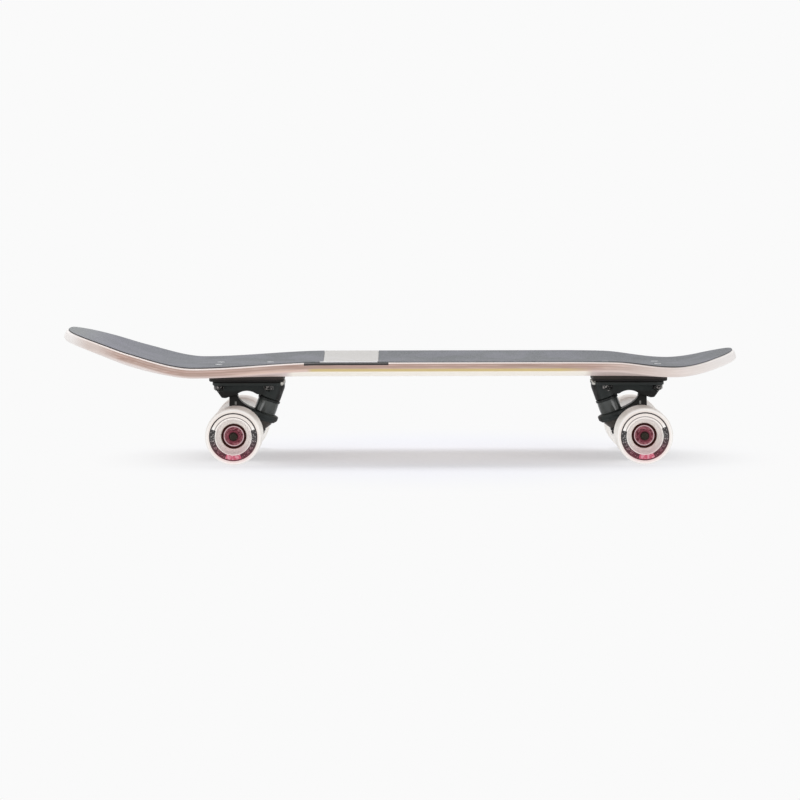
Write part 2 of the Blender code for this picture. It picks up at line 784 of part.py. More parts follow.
def make_hanger():
    """The hanger casting, about the ring's centre."""
    ring_left = RING_CENTRE.x - RING_RADIUS * cos(KINGPIN_TILT)
    ring_rim_z = RING_CENTRE.z + RING_RADIUS * sin(KINGPIN_TILT)
    sweep_start = Vector((PIVOT.x + 0.0080, PIVOT.z - 0.0048))
    sweep_pull = Vector((PIVOT.x + 0.0099, ring_rim_z + 0.0095))
    sweep_end = Vector((ring_left + 0.0040, ring_rim_z + 0.0030))
    sweep = []
    for step in range(6):
        t = step / 5
        point = sweep_start * (1 - t) ** 2 + sweep_pull * (2 * t * (1 - t)) + sweep_end * t**2
        sweep.append((point.x, point.y))
    web_outline = [
        (POST_FACE, PIVOT.z - 0.0080),
        (POST_FACE + 0.0020, PIVOT.z - 0.0060),
        *sweep,
        (ring_left + 0.0050, ring_rim_z - 0.0010),
        (ring_left + 0.0028, ring_rim_z - 0.0075),
        (0.0090, AXLE_Z + 0.0060),
        (0.0, AXLE_Z),
        (POST_FACE + 0.0006, AXLE_Z + 0.0040),
        (POST_FACE, AXLE_Z + 0.0150),
    ]
    web = side_profile(
        "hanger_web", web_outline, lambda x, z: WEB_TOP_WIDTH / 2 + WEB_DRAFT * (PIVOT.z - 0.008 - z)
    )
    stem = turned(
        "hanger_stem",
        [(0.0, NOSE_RADIUS)]
        + [(r, z) for r, z in arc((0.0, 0.0), NOSE_RADIUS, pi / 2, 0.0, 4)][1:]
        + [
            (NOSE_RADIUS, -CUP_DEPTH - 0.0010),
            (NOSE_RADIUS + 0.0003, -CUP_DEPTH - 0.0075),
            (0.0, -CUP_DEPTH - 0.0075),
        ],
        SMALL_SIDES,
    )
    placed(stem, PIVOT, PIVOT_TILT)
    ring = turned(
        "hanger_ring",
        [
            (0.0, RING_HUB_BOTTOM),
            (BUSHING_RADIUS + 0.0016, RING_HUB_BOTTOM),
            (RING_RADIUS - 0.0010, RING_RIM_BOTTOM),
            (RING_RADIUS, RING_RIM_BOTTOM + 0.0014),
            (RING_RADIUS, RING_TOP - 0.0014),
            (RING_RADIUS - 0.0012, RING_TOP),
            (0.0, RING_TOP),
        ],
        ROUND_SIDES,
    )
    placed(ring, RING_CENTRE, KINGPIN_TILT)
    mesh = combined(
        "hanger", axle_housing(), joins=[web, stem, ring], cuts=[axle_bore(), bushing_room()]
    )
    mesh.transform(Matrix.Translation(-RING_CENTRE))
    return mesh


def axle_housing():
    """The beam round the axle, thick in the middle and round at its ends."""
    half = HANGER_WIDTH / 2
    shares = (0.32, 0.65, 1.0)
    one_side = [HOUSING_SWELL * share for share in shares] + [0.97, 1.0]
    places = [-place for place in reversed(one_side)] + one_side
    loops = []
    for place in places:
        swell = cos(min(abs(place) / HOUSING_SWELL, 1.0) * pi / 2) ** 2
        radius = HOUSING_END_RADIUS + (HOUSING_MIDDLE_RADIUS - HOUSING_END_RADIUS) * swell
        if abs(place) == 1.0:
            radius = HOUSING_END_RADIUS - 0.0008
        ring = []
        for side in range(ROUND_SIDES):
            angle = 2 * pi * side / ROUND_SIDES
            height = AXLE_Z + HOUSING_RISE * swell + radius * sin(angle)
            ring.append((radius * cos(angle), place * half, height))
        loops.append(ring)
    return loft("axle_housing", loops)


def axle_bore():
    half = HANGER_WIDTH / 2 + CUT_OVERRUN
    clear = AXLE_RADIUS + GAP
    bore = turned("axle_bore", [(0.0, -half), (clear, -half), (clear, half), (0.0, half)], SMALL_SIDES)
    bore.transform(Matrix.Translation((0.0, 0.0, AXLE_Z)) @ Matrix.Rotation(pi / 2, 4, "X"))
    return bore


def bushing_room():
    """The kingpin's hole with a seat for each bushing, and the room below for washer and nut."""
    seat = BUSHING_RADIUS + BUSHING_BULGE + GAP
    low = nut_top() - KINGPIN_NUT_HEIGHT - CUT_OVERRUN
    profile = [
        (0.0, low),
        (KINGPIN_NUT_CORNER + 0.0020, low),
        (BUSHING_RADIUS + 0.0020, RING_HUB_BOTTOM - 0.0010),
        (BUSHING_RADIUS + 0.0020, RING_HUB_BOTTOM),
        (seat, RING_HUB_BOTTOM),
        (seat, RING_HUB_BOTTOM + SEAT_DEPTH),
        (RING_HOLE_RADIUS, RING_HUB_BOTTOM + SEAT_DEPTH),
        (RING_HOLE_RADIUS, RING_TOP - SEAT_DEPTH),
        (seat, RING_TOP - SEAT_DEPTH),
        (seat, RING_TOP + CUT_OVERRUN),
        (0.0, RING_TOP + CUT_OVERRUN),
    ]
    room = turned("bushing_room", profile, ROUND_SIDES, half_step=True)
    return placed(room, RING_CENTRE, KINGPIN_TILT)


def make_axle():
    half = AXLE_END_Y
    profile = [
        (0.0, -half),
        (AXLE_RADIUS - 0.0006, -half),
        (AXLE_RADIUS, -half + 0.0006),
        (AXLE_RADIUS, half - 0.0006),
        (AXLE_RADIUS - 0.0006, half),
        (0.0, half),
    ]
    return turned("axle", profile, SMALL_SIDES)


def make_race_stack():
    """Both inner races with the spacer between them, from the middle of the wheel."""
    bore = AXLE_RADIUS + GAP
    half = STACK_LENGTH / 2
    step = SPACER_LENGTH / 2
    profile = [
        (bore, -half),
        (RACE_RADIUS, -half),
        (RACE_RADIUS, -step),
        (SPACER_RADIUS, -step),
        (SPACER_RADIUS, step),
        (RACE_RADIUS, step),
        (RACE_RADIUS, half),
        (bore, half),
    ]
    return turned("race_stack", profile, STACK_SIDES)


def make_bearing():
    """Outer ring and shields of one ball bearing, about its middle, with its open face up."""
    half = BEARING_WIDTH / 2
    bore = RACE_RADIUS + GAP
    shield = BEARING_RADIUS - BEARING_OUTER_RING
    profile = [
        (bore, -half),
        (BEARING_RADIUS, -half),
        (BEARING_RADIUS, half),
        (shield, half),
        (shield, half - SHIELD_RECESS),
        (bore, half - SHIELD_RECESS),
    ]
    return turned("bearing", profile, SMALL_SIDES)


def make_wheel():
    """The cast wheel, about its middle, with the facets' flats on the tread radius."""
    half = WHEEL_WIDTH / 2
    seat = BEARING_RADIUS + GAP
    web = SPACER_LENGTH / 2 - GAP
    mouth = STACK_LENGTH / 2
    tread = WHEEL_RADIUS / cos(pi / WHEEL_SIDES)
    lip = arc((tread - WHEEL_LIP_RADIUS, half - WHEEL_LIP_RADIUS), WHEEL_LIP_RADIUS, pi / 2, 0.0, 2)
    one_side = [
        (CORE_BORE_RADIUS, web),
        (seat, web),
        (seat, mouth),
        (DISH_FLOOR_RADIUS, mouth + 0.0008),
        (DISH_RADIUS, half),
        *lip,
    ]
    other_side = [(r, -z) for r, z in reversed(one_side)]
    return turned("wheel", one_side + other_side, WHEEL_SIDES, half_step=True)


def make_speed_washer():
    bore = AXLE_RADIUS + GAP
    thick = SPEED_WASHER_THICKNESS
    profile = [(bore, 0.0), (SPEED_WASHER_RADIUS, 0.0), (SPEED_WASHER_RADIUS, thick), (bore, thick)]
    return turned("speed_washer", profile, STACK_SIDES)


def make_axle_nut():
    bore = AXLE_RADIUS + GAP
    corner = AXLE_NUT_CORNER
    high = AXLE_NUT_HEIGHT
    profile = [
        (bore, 0.0),
        (corner, 0.0),
        (corner, high - 0.0008),
        (corner * 0.84, high),
        (corner * 0.78, high + AXLE_NUT_COLLAR),
        (bore, high + AXLE_NUT_COLLAR),
    ]
    return turned("axle_nut", profile, SMALL_SIDES, hex_radii=(corner,))


# Assembly


def assemble_truck(end, axle_x, facing, finishes, shapes):
    """One truck with its wheels; facing is 1 for the rear truck and -1 for the front one."""
    truck = add_empty(end + "_truck", (axle_x, 0.0, 0.0), turn=0.0 if facing == 1 else pi)
    steering = add_empty(end + "_steering", RING_CENTRE, parent=truck)
    lean = (0.0, KINGPIN_TILT, 0.0)

    add_piece(end + "_riser_pad", shapes["riser"], finishes["riser"], truck)
    add_piece(end + "_baseplate", shapes["baseplate"], finishes["truck"], truck)
    add_piece(
        end + "_pivot_cup", shapes["pivot_cup"], finishes["pivot_cup"], truck, PIVOT, (0.0, PIVOT_TILT, 0.0)
    )
    kingpin_pieces = (
        ("kingpin", "fastener"),
        ("upper_washer", "washer"),
        ("upper_bushing", "bushing"),
        ("lower_bushing", "bushing"),
        ("lower_washer", "washer"),
        ("kingpin_nut", "fastener"),
    )
    for piece, finish in kingpin_pieces:
        add_piece(end + "_" + piece, shapes[piece], finishes[finish], truck, RING_CENTRE, lean)
    for number, (x, y) in enumerate(bolt_places(), start=1):
        name = end + "_deck_bolt_" + str(number)
        add_piece(name, shapes["deck_bolt"], finishes["fastener"], truck, (x, y, 0.0))

    add_piece(end + "_hanger", shapes["hanger"], finishes["truck"], steering)
    axle_middle = Vector((0.0, 0.0, AXLE_Z)) - RING_CENTRE
    add_piece(end + "_axle", shapes["axle"], finishes["axle"], steering, axle_middle, (pi / 2, 0.0, 0.0))
    for side in (1, -1):
        corner = end + ("_left_" if side * facing == 1 else "_right_")
        outward = (-side * pi / 2, 0.0, 0.0)
        inward = (side * pi / 2, 0.0, 0.0)

        def add_round(piece, shape, finish, distance, turn=outward):
            at = axle_middle + Vector((0.0, side * distance, 0.0))
            add_piece(corner + piece, shapes[shape], finishes[finish], steering, at, turn)

        to_bearing = (SPACER_LENGTH + BEARING_WIDTH) / 2
        add_round("wheel", "wheel", "wheel", WHEEL_Y)
        add_round("inner_bearing", "bearing", "bearing", WHEEL_Y - to_bearing, inward)
        add_round("outer_bearing", "bearing", "bearing", WHEEL_Y + to_bearing)
        add_round("race_stack", "race_stack", "axle", WHEEL_Y)
        add_round("speed_washer", "speed_washer", "axle", SPEED_WASHER_Y)
        add_round("axle_nut", "axle_nut", "fastener", AXLE_NUT_Y)


def make_skateboard():
    finishes = {
        "maple": material("maple", (0.52, 0.38, 0.31), 0.5),
        "grip": material("grip_tape", (0.20, 0.21, 0.22), 0.95),
        "band": material("pale_grip_tape", (0.70, 0.69, 0.67), 0.95),
        "riser": material("riser_rubber", (0.03, 0.025, 0.022), 0.7),
        "truck": material("black_truck_paint", (0.018, 0.021, 0.02), 0.38),
        "pivot_cup": material("pivot_cup_plastic", (0.05, 0.05, 0.05), 0.5),
        "bushing": material("bushing_plastic", (0.035, 0.037, 0.037), 0.45),
        "washer": material("black_washer_steel", (0.02, 0.02, 0.02), 0.4, 0.6),
        "fastener": material("black_bolt_steel", (0.03, 0.03, 0.03), 0.4, 0.7),
        "axle": material("axle_steel", (0.10, 0.11, 0.105), 0.35, 0.9),
        "wheel": material("cast_wheel_plastic", (0.74, 0.70, 0.66), 0.5),
        "bearing": material("red_bearing_shield", (0.30, 0.03, 0.06), 0.4, 0.3),
    }
    board = add_empty("board", (0.0, 0.0, 0.0))
    add_piece("deck", make_deck(), finishes["maple"], board)
    add_piece("grip_rear", make_grip("grip_rear", TAIL_X, BAND_REAR_X), finishes["grip"], board)
    add_piece("grip_band", make_grip("grip_band", BAND_REAR_X, BAND_FRONT_X), finishes["band"], board)
    add_piece("grip_front", make_grip("grip_front", BAND_FRONT_X, NOSE_X), finishes["grip"], board)
    shapes = {
        "riser": make_riser(),
        "baseplate": make_baseplate(),
        "pivot_cup": make_pivot_cup(),
        "kingpin": make_kingpin(),
        "upper_washer": cupped_washer("upper_washer", BOSS_FACE - GAP, BUSHING_RADIUS, -1),
        "upper_bushing": make_upper_bushing(),
        "lower_bushing": make_lower_bushing(),
        "lower_washer": cupped_washer("lower_washer", nut_top() + GAP, LOWER_BUSHING_END_RADIUS, 1),
        "kingpin_nut": make_kingpin_nut(),
        "deck_bolt": make_deck_bolt(),
        "hanger": make_hanger(),
        "axle": make_axle(),
        "race_stack": make_race_stack(),
        "bearing": make_bearing(),
        "wheel": make_wheel(),
        "speed_washer": make_speed_washer(),
        "axle_nut": make_axle_nut(),
    }
    assemble_truck("rear", REAR_AXLE_X, 1, finishes, shapes)
    assemble_truck("front", FRONT_AXLE_X, -1, finishes, shapes)


for old in list(bpy.data.objects):
    bpy.data.objects.remove(old)
make_skateboard()
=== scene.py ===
"""The cruiser skateboard's finished pieces and materials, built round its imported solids.

Metres, +X to the nose, -Y to the camera, +Z up. Every finished piece has its place in its mesh.
"""

import json
from functools import partial
from math import asin, cos, pi, radians, sin

import bmesh
import bpy
from mathutils import Matrix, Vector


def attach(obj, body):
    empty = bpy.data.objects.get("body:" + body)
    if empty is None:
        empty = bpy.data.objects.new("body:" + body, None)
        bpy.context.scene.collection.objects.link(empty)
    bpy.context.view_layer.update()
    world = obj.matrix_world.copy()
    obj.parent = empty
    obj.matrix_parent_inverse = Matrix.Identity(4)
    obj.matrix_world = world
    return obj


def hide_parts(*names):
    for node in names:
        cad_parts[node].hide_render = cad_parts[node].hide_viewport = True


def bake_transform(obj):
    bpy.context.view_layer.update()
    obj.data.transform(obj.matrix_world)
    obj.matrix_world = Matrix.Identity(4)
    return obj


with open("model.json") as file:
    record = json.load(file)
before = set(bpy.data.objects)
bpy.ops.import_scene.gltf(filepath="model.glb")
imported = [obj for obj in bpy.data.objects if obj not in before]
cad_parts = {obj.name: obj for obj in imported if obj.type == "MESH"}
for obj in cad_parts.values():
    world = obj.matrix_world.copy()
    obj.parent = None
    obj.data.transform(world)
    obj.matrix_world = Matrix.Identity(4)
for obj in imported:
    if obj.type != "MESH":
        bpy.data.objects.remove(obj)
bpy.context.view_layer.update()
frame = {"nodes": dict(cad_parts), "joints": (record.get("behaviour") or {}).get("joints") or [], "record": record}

# Board: the sizes that the pressed shape follows
BOARD = {
    "Length": 0.7278,
    "Width": 0.2032,
    "Edge Radius": 0.003,
    "Tail Power": 2.7,
    "Tail Taper": 0.143,
    "Nose Power": 2.3,
    "Nose Taper": 0.191,
    "Flat Width": 0.068,
    "Concave": 0.0086,
    "Pocket": 0.0018,
    "Kick Concave": 0.0071,
    "Rear Fade": 0.137,
    "Front Fade": 0.066,
    "Kick Fade": 0.068,
    "Tail Kick X": -0.2191,
    "Nose Kick X": 0.2921,
    "Tail Kick Angle": radians(21.9),
    "Tail Kick Radius": 0.224,
    "Nose Kick Angle": radians(17.8),
    "Nose Kick Radius": 0.132,
    "Middle Height": 0.09545,
}
THICKNESS = 0.0105
PLIES = 7
GRIP_THICKNESS = 0.0009
GRIP_INSET = 0.0020
BAND_X = (-0.0856, -0.0246)
STAIN_X = (-0.099, 0.204)
BARE_PLY_X = (-0.122, 0.203)
STRIP_X = (-0.1021, -0.0128)
MIDDLE_X = 0.035
SLOPE_STEP = 0.0001

# Trucks, each in its own frame: +X inboard, X = 0 on the axle line
GAP = 0.0003
AXLE_Z = 0.030
RISER_TOP = 0.0899
RISER_BOTTOM = 0.0832
RISER_ENDS = (-0.0305, 0.0501)
RISER_WIDTH = 0.057
RISER_CORNER = 0.008
RISER_EDGE = 0.0009
PLATE_TOP = 0.0829
PLATE_BOTTOM = 0.0789
PLATE_ENDS = (-0.0270, 0.0507)
PLATE_WIDTH = 0.0535
PLATE_CORNER = 0.009
ARCH_CENTRE = 0.0096
ARCH_TOP = 0.0722
ARCH_RADIUS = 0.0172
ARCH_ENDS = (radians(133), radians(52))
BODY_WIDTH = 0.0240
BODY_NARROWING = 0.03
BODY_DRAFT = 0.10
PIVOT = Vector((-0.0093, 0.0, 0.0730))
PIVOT_TILT = radians(-31.0)
NOSE_RADIUS = 0.0049
CUP_DEPTH = 0.0028
CUP_WALL = 0.0020
POST_FACE = -0.0097
WEB_HALF = 0.0065
WEB_DRAFT = 0.22
RING_CENTRE = Vector((0.0270, 0.0, 0.0446))
HANGER_WIDTH = 0.131
HOUSING_RADIUS = 0.0082
HOUSING_SWELL = 0.0030
CAST_GRAIN = 0.0005
CAST_SMOOTHING = 8
CAST_FACES_KEPT = 0.3

# Kingpin: heights are measured along it, from the ring's centre
KINGPIN_TILT = radians(20.0)
KINGPIN_RADIUS = 0.00475
KINGPIN_BORE = KINGPIN_RADIUS + GAP
KINGPIN_HEAD = (0.0327, 0.0380)
KINGPIN_NUT_CORNER = 0.0073
BOSS_RADIUS = 0.0118
BOSS_FACE = 0.0204
RING_RADIUS = 0.0162
RING_TOP = 0.0040
RING_HUB_BOTTOM = -0.0045
RING_BORE = 0.0074
SEAT_DEPTH = 0.0010
BUSHING_RADIUS = 0.0116
BUSHING_BORE = 0.0067
UPPER_BUSHING = (0.0033, 0.0184)
LOWER_BUSHING = (-0.0136, -0.0038)
# Where a bushing leaves the board's side and where it reaches the ring's
BUSHING_BENDS = {"upper_bushing": (0.0172, 0.0050), "lower_bushing": (-0.0128, -0.0052)}
CUPPED_FLOOR = 0.0014
CUPPED_LIP = 0.0009
UPPER_WASHER_FACE = 0.0201
LOWER_WASHER_RADIUS = 0.0067
NUT_TOP = -0.0156
NUT_HEIGHT = 0.0055

BOLT_LONG = 0.054
BOLT_WIDE = 0.0413
BOLT_OUTBOARD = 0.020
BOLT_HEAD_Z = 0.1021
BOLT_RADIUS = 0.0020
BOLT_PITCH = 0.0008
BOLT_NUT_CORNER = 0.0054
BOLT_NUT_HEIGHT = 0.0042
BOLT_HOLE_RADIUS = 0.0052
BOLT_HOLE_Z = (0.093, 0.11)
BETWEEN_AXLES_X = 0.0404

# Wheels, each about its own middle with +Z outwards
WHEEL_RADIUS = 0.02999
WHEEL_HALF = 0.024
TREAD_LIP = 0.0046
DISH_RADIUS = 0.0182
DISH_FLOOR_RADIUS = 0.0134
STACK_HALF = 0.012
BEARING_RADIUS = 0.01095
BEARING_HALF = 0.0035
CORE_BORE = 0.0085
CORE_STEP = 0.0047
CORE_RADIUS = 0.01125
RACE_RADIUS = 0.00605
SPACER_RADIUS = 0.0054
SPACER_HALF = 0.005
AXLE_RADIUS = 0.004
AXLE_HALF = 0.1005
AXLE_THREAD_FROM = 0.0915
AXLE_PITCH = 0.0010
AXLE_BORE = AXLE_RADIUS + GAP
AXLE_NUT_CORNER = 0.0073
AXLE_NUT_HEIGHT = 0.0055
WASHER_RADIUS = 0.0063
WASHER_THICKNESS = 0.0008

# A turned piece's path is wider than any piece, and edges past this angle stay sharp
LATHE_PATH = 0.05
SHARP_ANGLE = radians(32)
# How far each printed ring is turned
WHEEL_TURNS = {
    "rear_left": 2.2,
    "rear_right": 0.0,
    "front_left": -1.1,
    "front_right": radians(5),
}

# Studio
SURROUNDINGS = "FAFAFA"
AMBIENT = 0.77
CAMERA_PLACE = (0.00395, -3.1415, 0.3016)
CAMERA_PITCH = radians(4.376)
CAMERA_ROLL = radians(0.12)
FOCAL_PIXELS = 2888
CAMERA_YAW = 4 / FOCAL_PIXELS
FRAME_PIXELS = 800

# Kinds of node, two of them with a setting
FADE = "ShaderNodeMapRange"
SOFT_FADE = (FADE, {"interpolation_type": "SMOOTHSTEP"})
MIX = "ShaderNodeMix"
TINT = (MIX, {"data_type": "RGBA"})
APART = "ShaderNodeSeparateXYZ"
TOGETHER = "ShaderNodeCombineXYZ"
MAPPING = "ShaderNodeMapping"
NOISE = "ShaderNodeTexNoise"
CELLS = "ShaderNodeTexVoronoi"
ATTRIBUTE = "ShaderNodeAttribute"
BUMP = "ShaderNodeBump"
GROUP = "GeometryNodeGroup"
SET_POSITION = "GeometryNodeSetPosition"
MERGE = "GeometryNodeMergeByDistance"
CIRCLE = "GeometryNodeCurvePrimitiveCircle"
SKIN = "GeometryNodeCurveToMesh"


# Nodes


def linear(code):
    """An sRGB hex colour as Blender's linear one."""
    channels = [int(code[i : i + 2], 16) / 255 for i in (0, 2, 4)]
    return (*[c / 12.92 if c <= 0.04045 else ((c + 0.055) / 1.055) ** 2.4 for c in channels], 1.0)


def add_node(tree, kind, *given, **named):
    """Adds one node, or feeds one that is there. A kind in capitals is a maths operation, and
    VECTOR_ before it makes it one on vectors. Inputs come in order or by a capitalised name, as
    values, hex colours, sockets or nodes; the other names are settings."""
    kind, settings = kind if isinstance(kind, tuple) else (kind, {})
    if isinstance(kind, bpy.types.Node):
        node = kind
    elif kind.isupper():
        vectors = kind.startswith("VECTOR_")
        node = tree.nodes.new("ShaderNodeVectorMath" if vectors else "ShaderNodeMath")
        node.operation = kind.removeprefix("VECTOR_")
    else:
        node = tree.nodes.new(kind)
    inputs = dict(enumerate(given))
    for name, value in {**settings, **named}.items():
        if name[0].isupper():
            inputs[name.replace("_", " ")] = value
        else:
            setattr(node, name, value)
    shown = [socket for socket in node.inputs if socket.enabled]
    for place, value in inputs.items():
        if isinstance(place, int):
            socket = shown[place]
        else:
            socket = next(socket for socket in shown if socket.name == place)
        if isinstance(value, bpy.types.Node):
            value = next(output for output in value.outputs if output.enabled)
        if isinstance(value, bpy.types.NodeSocket):
            tree.links.new(value, socket)
        elif socket.type == "RGBA" and isinstance(value, str):
            socket.default_value = linear(value)
        else:
            socket.default_value = value
    return node


def new_tree(name, sizes, result=None):
    """A node tree with named inputs. Without a result name it takes and returns geometry."""
    tree = bpy.data.node_groups.new(name, "GeometryNodeTree")
    if result:
        tree.interface.new_socket(result, in_out="OUTPUT", socket_type="NodeSocketFloat")
    else:
        for way in ("OUTPUT", "INPUT"):
            tree.interface.new_socket("Geometry", in_out=way, socket_type="NodeSocketGeometry")
        tree.interface.new_socket("Material", in_out="INPUT", socket_type="NodeSocketMaterial")
    for size, value in sizes.items():
        kind = "NodeSocketInt" if isinstance(value, int) else "NodeSocketFloat"
        tree.interface.new_socket(size, in_out="INPUT", socket_type=kind).default_value = value
    given = tree.nodes.new("NodeGroupInput")
    named = {socket.name: socket for socket in given.outputs if socket.name}
    return tree, partial(add_node, tree), named


def close_tree(add, shape, finish):
    """Ends a shape's tree: real geometry with its material."""
    real = add("GeometryNodeRealizeInstances", shape)
    add("NodeGroupOutput", add("GeometryNodeSetMaterial", real, Material=finish))


def linked(name, data):
    """An object in the scene."""
    piece = bpy.data.objects.new(name, data)
    bpy.context.scene.collection.objects.link(piece)
    return piece


def modify(piece, kind, **settings):
    """Adds a modifier with its settings."""
    modifier = piece.modifiers.new(kind.lower(), kind)
    for setting, value in settings.items():
        setattr(modifier, setting, value)
    return modifier


def grown(name, base, tree, finish=None, **sizes):
    """Runs a tree on a base mesh and returns the plain mesh that it makes."""
    piece = linked(name, base)
    modifier = modify(piece, "NODES", node_group=TREES[tree])
    chosen = {"Material": FINISHES.get(finish), **sizes}
    for item in TREES[tree].interface.items_tree:
        size = item.name.replace(" ", "_")
        if item.in_out == "INPUT" and size in chosen:
            modifier[item.identifier] = chosen[size]
    return plain(piece)


def plain(piece):
    """The evaluated mesh of a helper object, which is removed."""
    graph = bpy.context.evaluated_depsgraph_get()
    mesh = bpy.data.meshes.new_from_object(piece.evaluated_get(graph))
    mesh.name = piece.name
    bpy.data.objects.remove(piece)
    return mesh


# Shapes that follow a rule


def kick_tree():
    """How far a kick has risen at a distance past its start: a round bend, then a slope."""
    tree, add, given = new_tree("kick", {"Distance": 0.0, "Radius": 0.1, "Angle": 0.3}, "Rise")
    distance = add("MAXIMUM", given["Distance"], 0.0)
    bend = add("MULTIPLY", given["Radius"], add("SINE", given["Angle"]))
    within = add("MINIMUM", distance, bend)
    radius_squared = add("MULTIPLY", given["Radius"], given["Radius"])
    drop = add("SQRT", add("SUBTRACT", radius_squared, add("MULTIPLY", within, within)))
    bend_rise = add("SUBTRACT", given["Radius"], drop)
    beyond = add("SUBTRACT", distance, within)
    add("NodeGroupOutput", add("MULTIPLY_ADD", beyond, add("TANGENT", given["Angle"]), bend_rise))
    return tree


def height_tree():
    """Height of the pressed board's middle surface at a place (X, Y)."""
    tree, add, given = new_tree("board_height", {"X": 0.0, "Y": 0.0, **BOARD}, "Height")
    kick = kick_tree()
    total = given["Middle Height"]
    before = add("SUBTRACT", given["Tail Kick X"], given["X"])
    after = add("SUBTRACT", given["X"], given["Nose Kick X"])
    shares = []
    for end, distance, fade in (("Tail", before, "Rear Fade"), ("Nose", after, "Front Fade")):
        bend = (given[end + " Kick Radius"], given[end + " Kick Angle"])
        total = add("ADD", total, add(GROUP, distance, *bend, node_tree=kick))
        shares.append(add(SOFT_FADE, add("DIVIDE", distance, given[fade]), 0.0, -1.0))
    full = add("MINIMUM", *shares)
    past = add("MAXIMUM", before, after)
    kicked = add(SOFT_FADE, add("DIVIDE", past, given["Kick Fade"]), 0.0, 1.0)
    between = add("SUBTRACT", given["Concave"], given["Pocket"])
    on_kick = add("SUBTRACT", given["Kick Concave"], given["Pocket"])
    concave = add("MULTIPLY_ADD", between, full, given["Pocket"])
    concave = add("MULTIPLY_ADD", on_kick, kicked, concave)
    away = add("ABSOLUTE", given["Y"])
    beyond_flat = add("MAXIMUM", add("MULTIPLY_ADD", given["Flat Width"], -0.5, away), 0.0)
    span = add("SUBTRACT", given["Width"], given["Flat Width"])
    half_share = add("DIVIDE", beyond_flat, span)
    rail_rise = add("MULTIPLY", add("MULTIPLY", half_share, half_share), 4.0)
    add("NodeGroupOutput", add("MULTIPLY_ADD", concave, rail_rise, total))
    return tree


def board_tree():
    """Presses a layer of the board: each point's along and across become its place on the curved
    surface, and its up and out move it off that surface and past the outline."""
    tree, add, given = new_tree("board_layer", BOARD)
    flat_x, flat_y = add(APART, add("GeometryNodeInputPosition")).outputs[:2]
    up, out = [
        add("GeometryNodeInputNamedAttribute", label, data_type="FLOAT") for label in ("up", "out")
    ]
    along = add("SINE", add("MULTIPLY", flat_x, pi / 2))
    half_length = add("MULTIPLY", given["Length"], 0.5)
    half_width = add("MULTIPLY", given["Width"], 0.5)
    # The outline: straight sides that each end's taper rounds off by its power
    outline_x = add("MULTIPLY", along, half_length)
    on_nose = add("GREATER_THAN", outline_x, 0.0)
    power = add(MIX, on_nose, given["Tail Power"], given["Nose Power"])
    lesser = add("SUBTRACT", power, 1.0)
    inverse = add("DIVIDE", 1.0, power)
    shares, pulls = [], []
    for end, way in (("Tail", "ADD"), ("Nose", "SUBTRACT")):
        taper = given[end + " Taper"]
        inside = add(way, half_length, outline_x)
        share = add(FADE, add("DIVIDE", inside, taper), 1.0, 0.0)
        shares.append(share)
        pulls.append(add("DIVIDE", add("POWER", share, lesser), taper))
    raised = add("POWER", add("MAXIMUM", *shares), power)
    left_over = add("MAXIMUM", add("SUBTRACT", 1.0, raised), 0.0)
    width_share = add("POWER", left_over, inverse)
    plan_x = add("SUBTRACT", pulls[1], pulls[0])
    plan_y = add("DIVIDE", add("POWER", width_share, lesser), half_width)
    plan = add("VECTOR_NORMALIZE", add(TOGETHER, plan_x, plan_y, 0.0))
    plan_x, plan_y = add(APART, plan).outputs[:2]
    x = add("SUBTRACT", outline_x, add("MULTIPLY", plan_x, given["Edge Radius"]))
    outline_y = add("MULTIPLY", half_width, width_share)
    edge_y = add("SUBTRACT", outline_y, add("MULTIPLY", plan_y, given["Edge Radius"]))
    y = add("MULTIPLY", flat_y, edge_y)
    sideways = add("MULTIPLY", plan_y, add("SIGN", flat_y))
    # The surface's height and slope there
    height = height_tree()
    x_on, y_on = add("ADD", x, SLOPE_STEP), add("ADD", y, SLOPE_STEP)
    sizes = [given[size] for size in BOARD]
    here, on_along, on_across = [
        add(GROUP, *place, *sizes, node_tree=height) for place in ((x, y), (x_on, y), (x, y_on))
    ]
    falls = [add("SUBTRACT", here, moved) for moved in (on_along, on_across)]
    slopes = [add("DIVIDE", fall, SLOPE_STEP) for fall in falls]
    normal = add("VECTOR_NORMALIZE", add(TOGETHER, *slopes, 1.0))
    plan_out = add(TOGETHER, plan_x, sideways, 0.0)
    part = add("VECTOR_SCALE", normal, add("VECTOR_DOT_PRODUCT", plan_out, normal))
    outward = add("VECTOR_NORMALIZE", add("VECTOR_SUBTRACT", plan_out, part))
    lifted = add("VECTOR_ADD", add(TOGETHER, x, y, here), add("VECTOR_SCALE", normal, up))
    final = add("VECTOR_ADD", lifted, add("VECTOR_SCALE", outward, out))
    pressed = add(SET_POSITION, given["Geometry"], Position=final)
    close_tree(add, add(MERGE, pressed, Distance=1e-6), given["Material"])
    return tree


def lathe_tree():
    """Turns a profile round Z. In the profile X is the radius less the path's and -Y the height."""
    sizes = {"Path Radius": LATHE_PATH, "Sides": 96, "Edge Radius": 0.0002, "Edge Steps": 3}
    tree, add, given = new_tree("turned_round", sizes)
    soft = add(
        "GeometryNodeFilletCurve",
        add("GeometryNodeMeshToCurve", given["Geometry"]),
        Count=given["Edge Steps"],
        Radius=given["Edge Radius"],
        Limit_Radius=True,
        mode="POLY",
    )
    path = add(CIRCLE, Resolution=given["Sides"], Radius=given["Path Radius"])
    skin = add(SKIN, path, Profile_Curve=soft)
    close_tree(add, add(MERGE, skin, Distance=2e-6), given["Material"])
    return tree


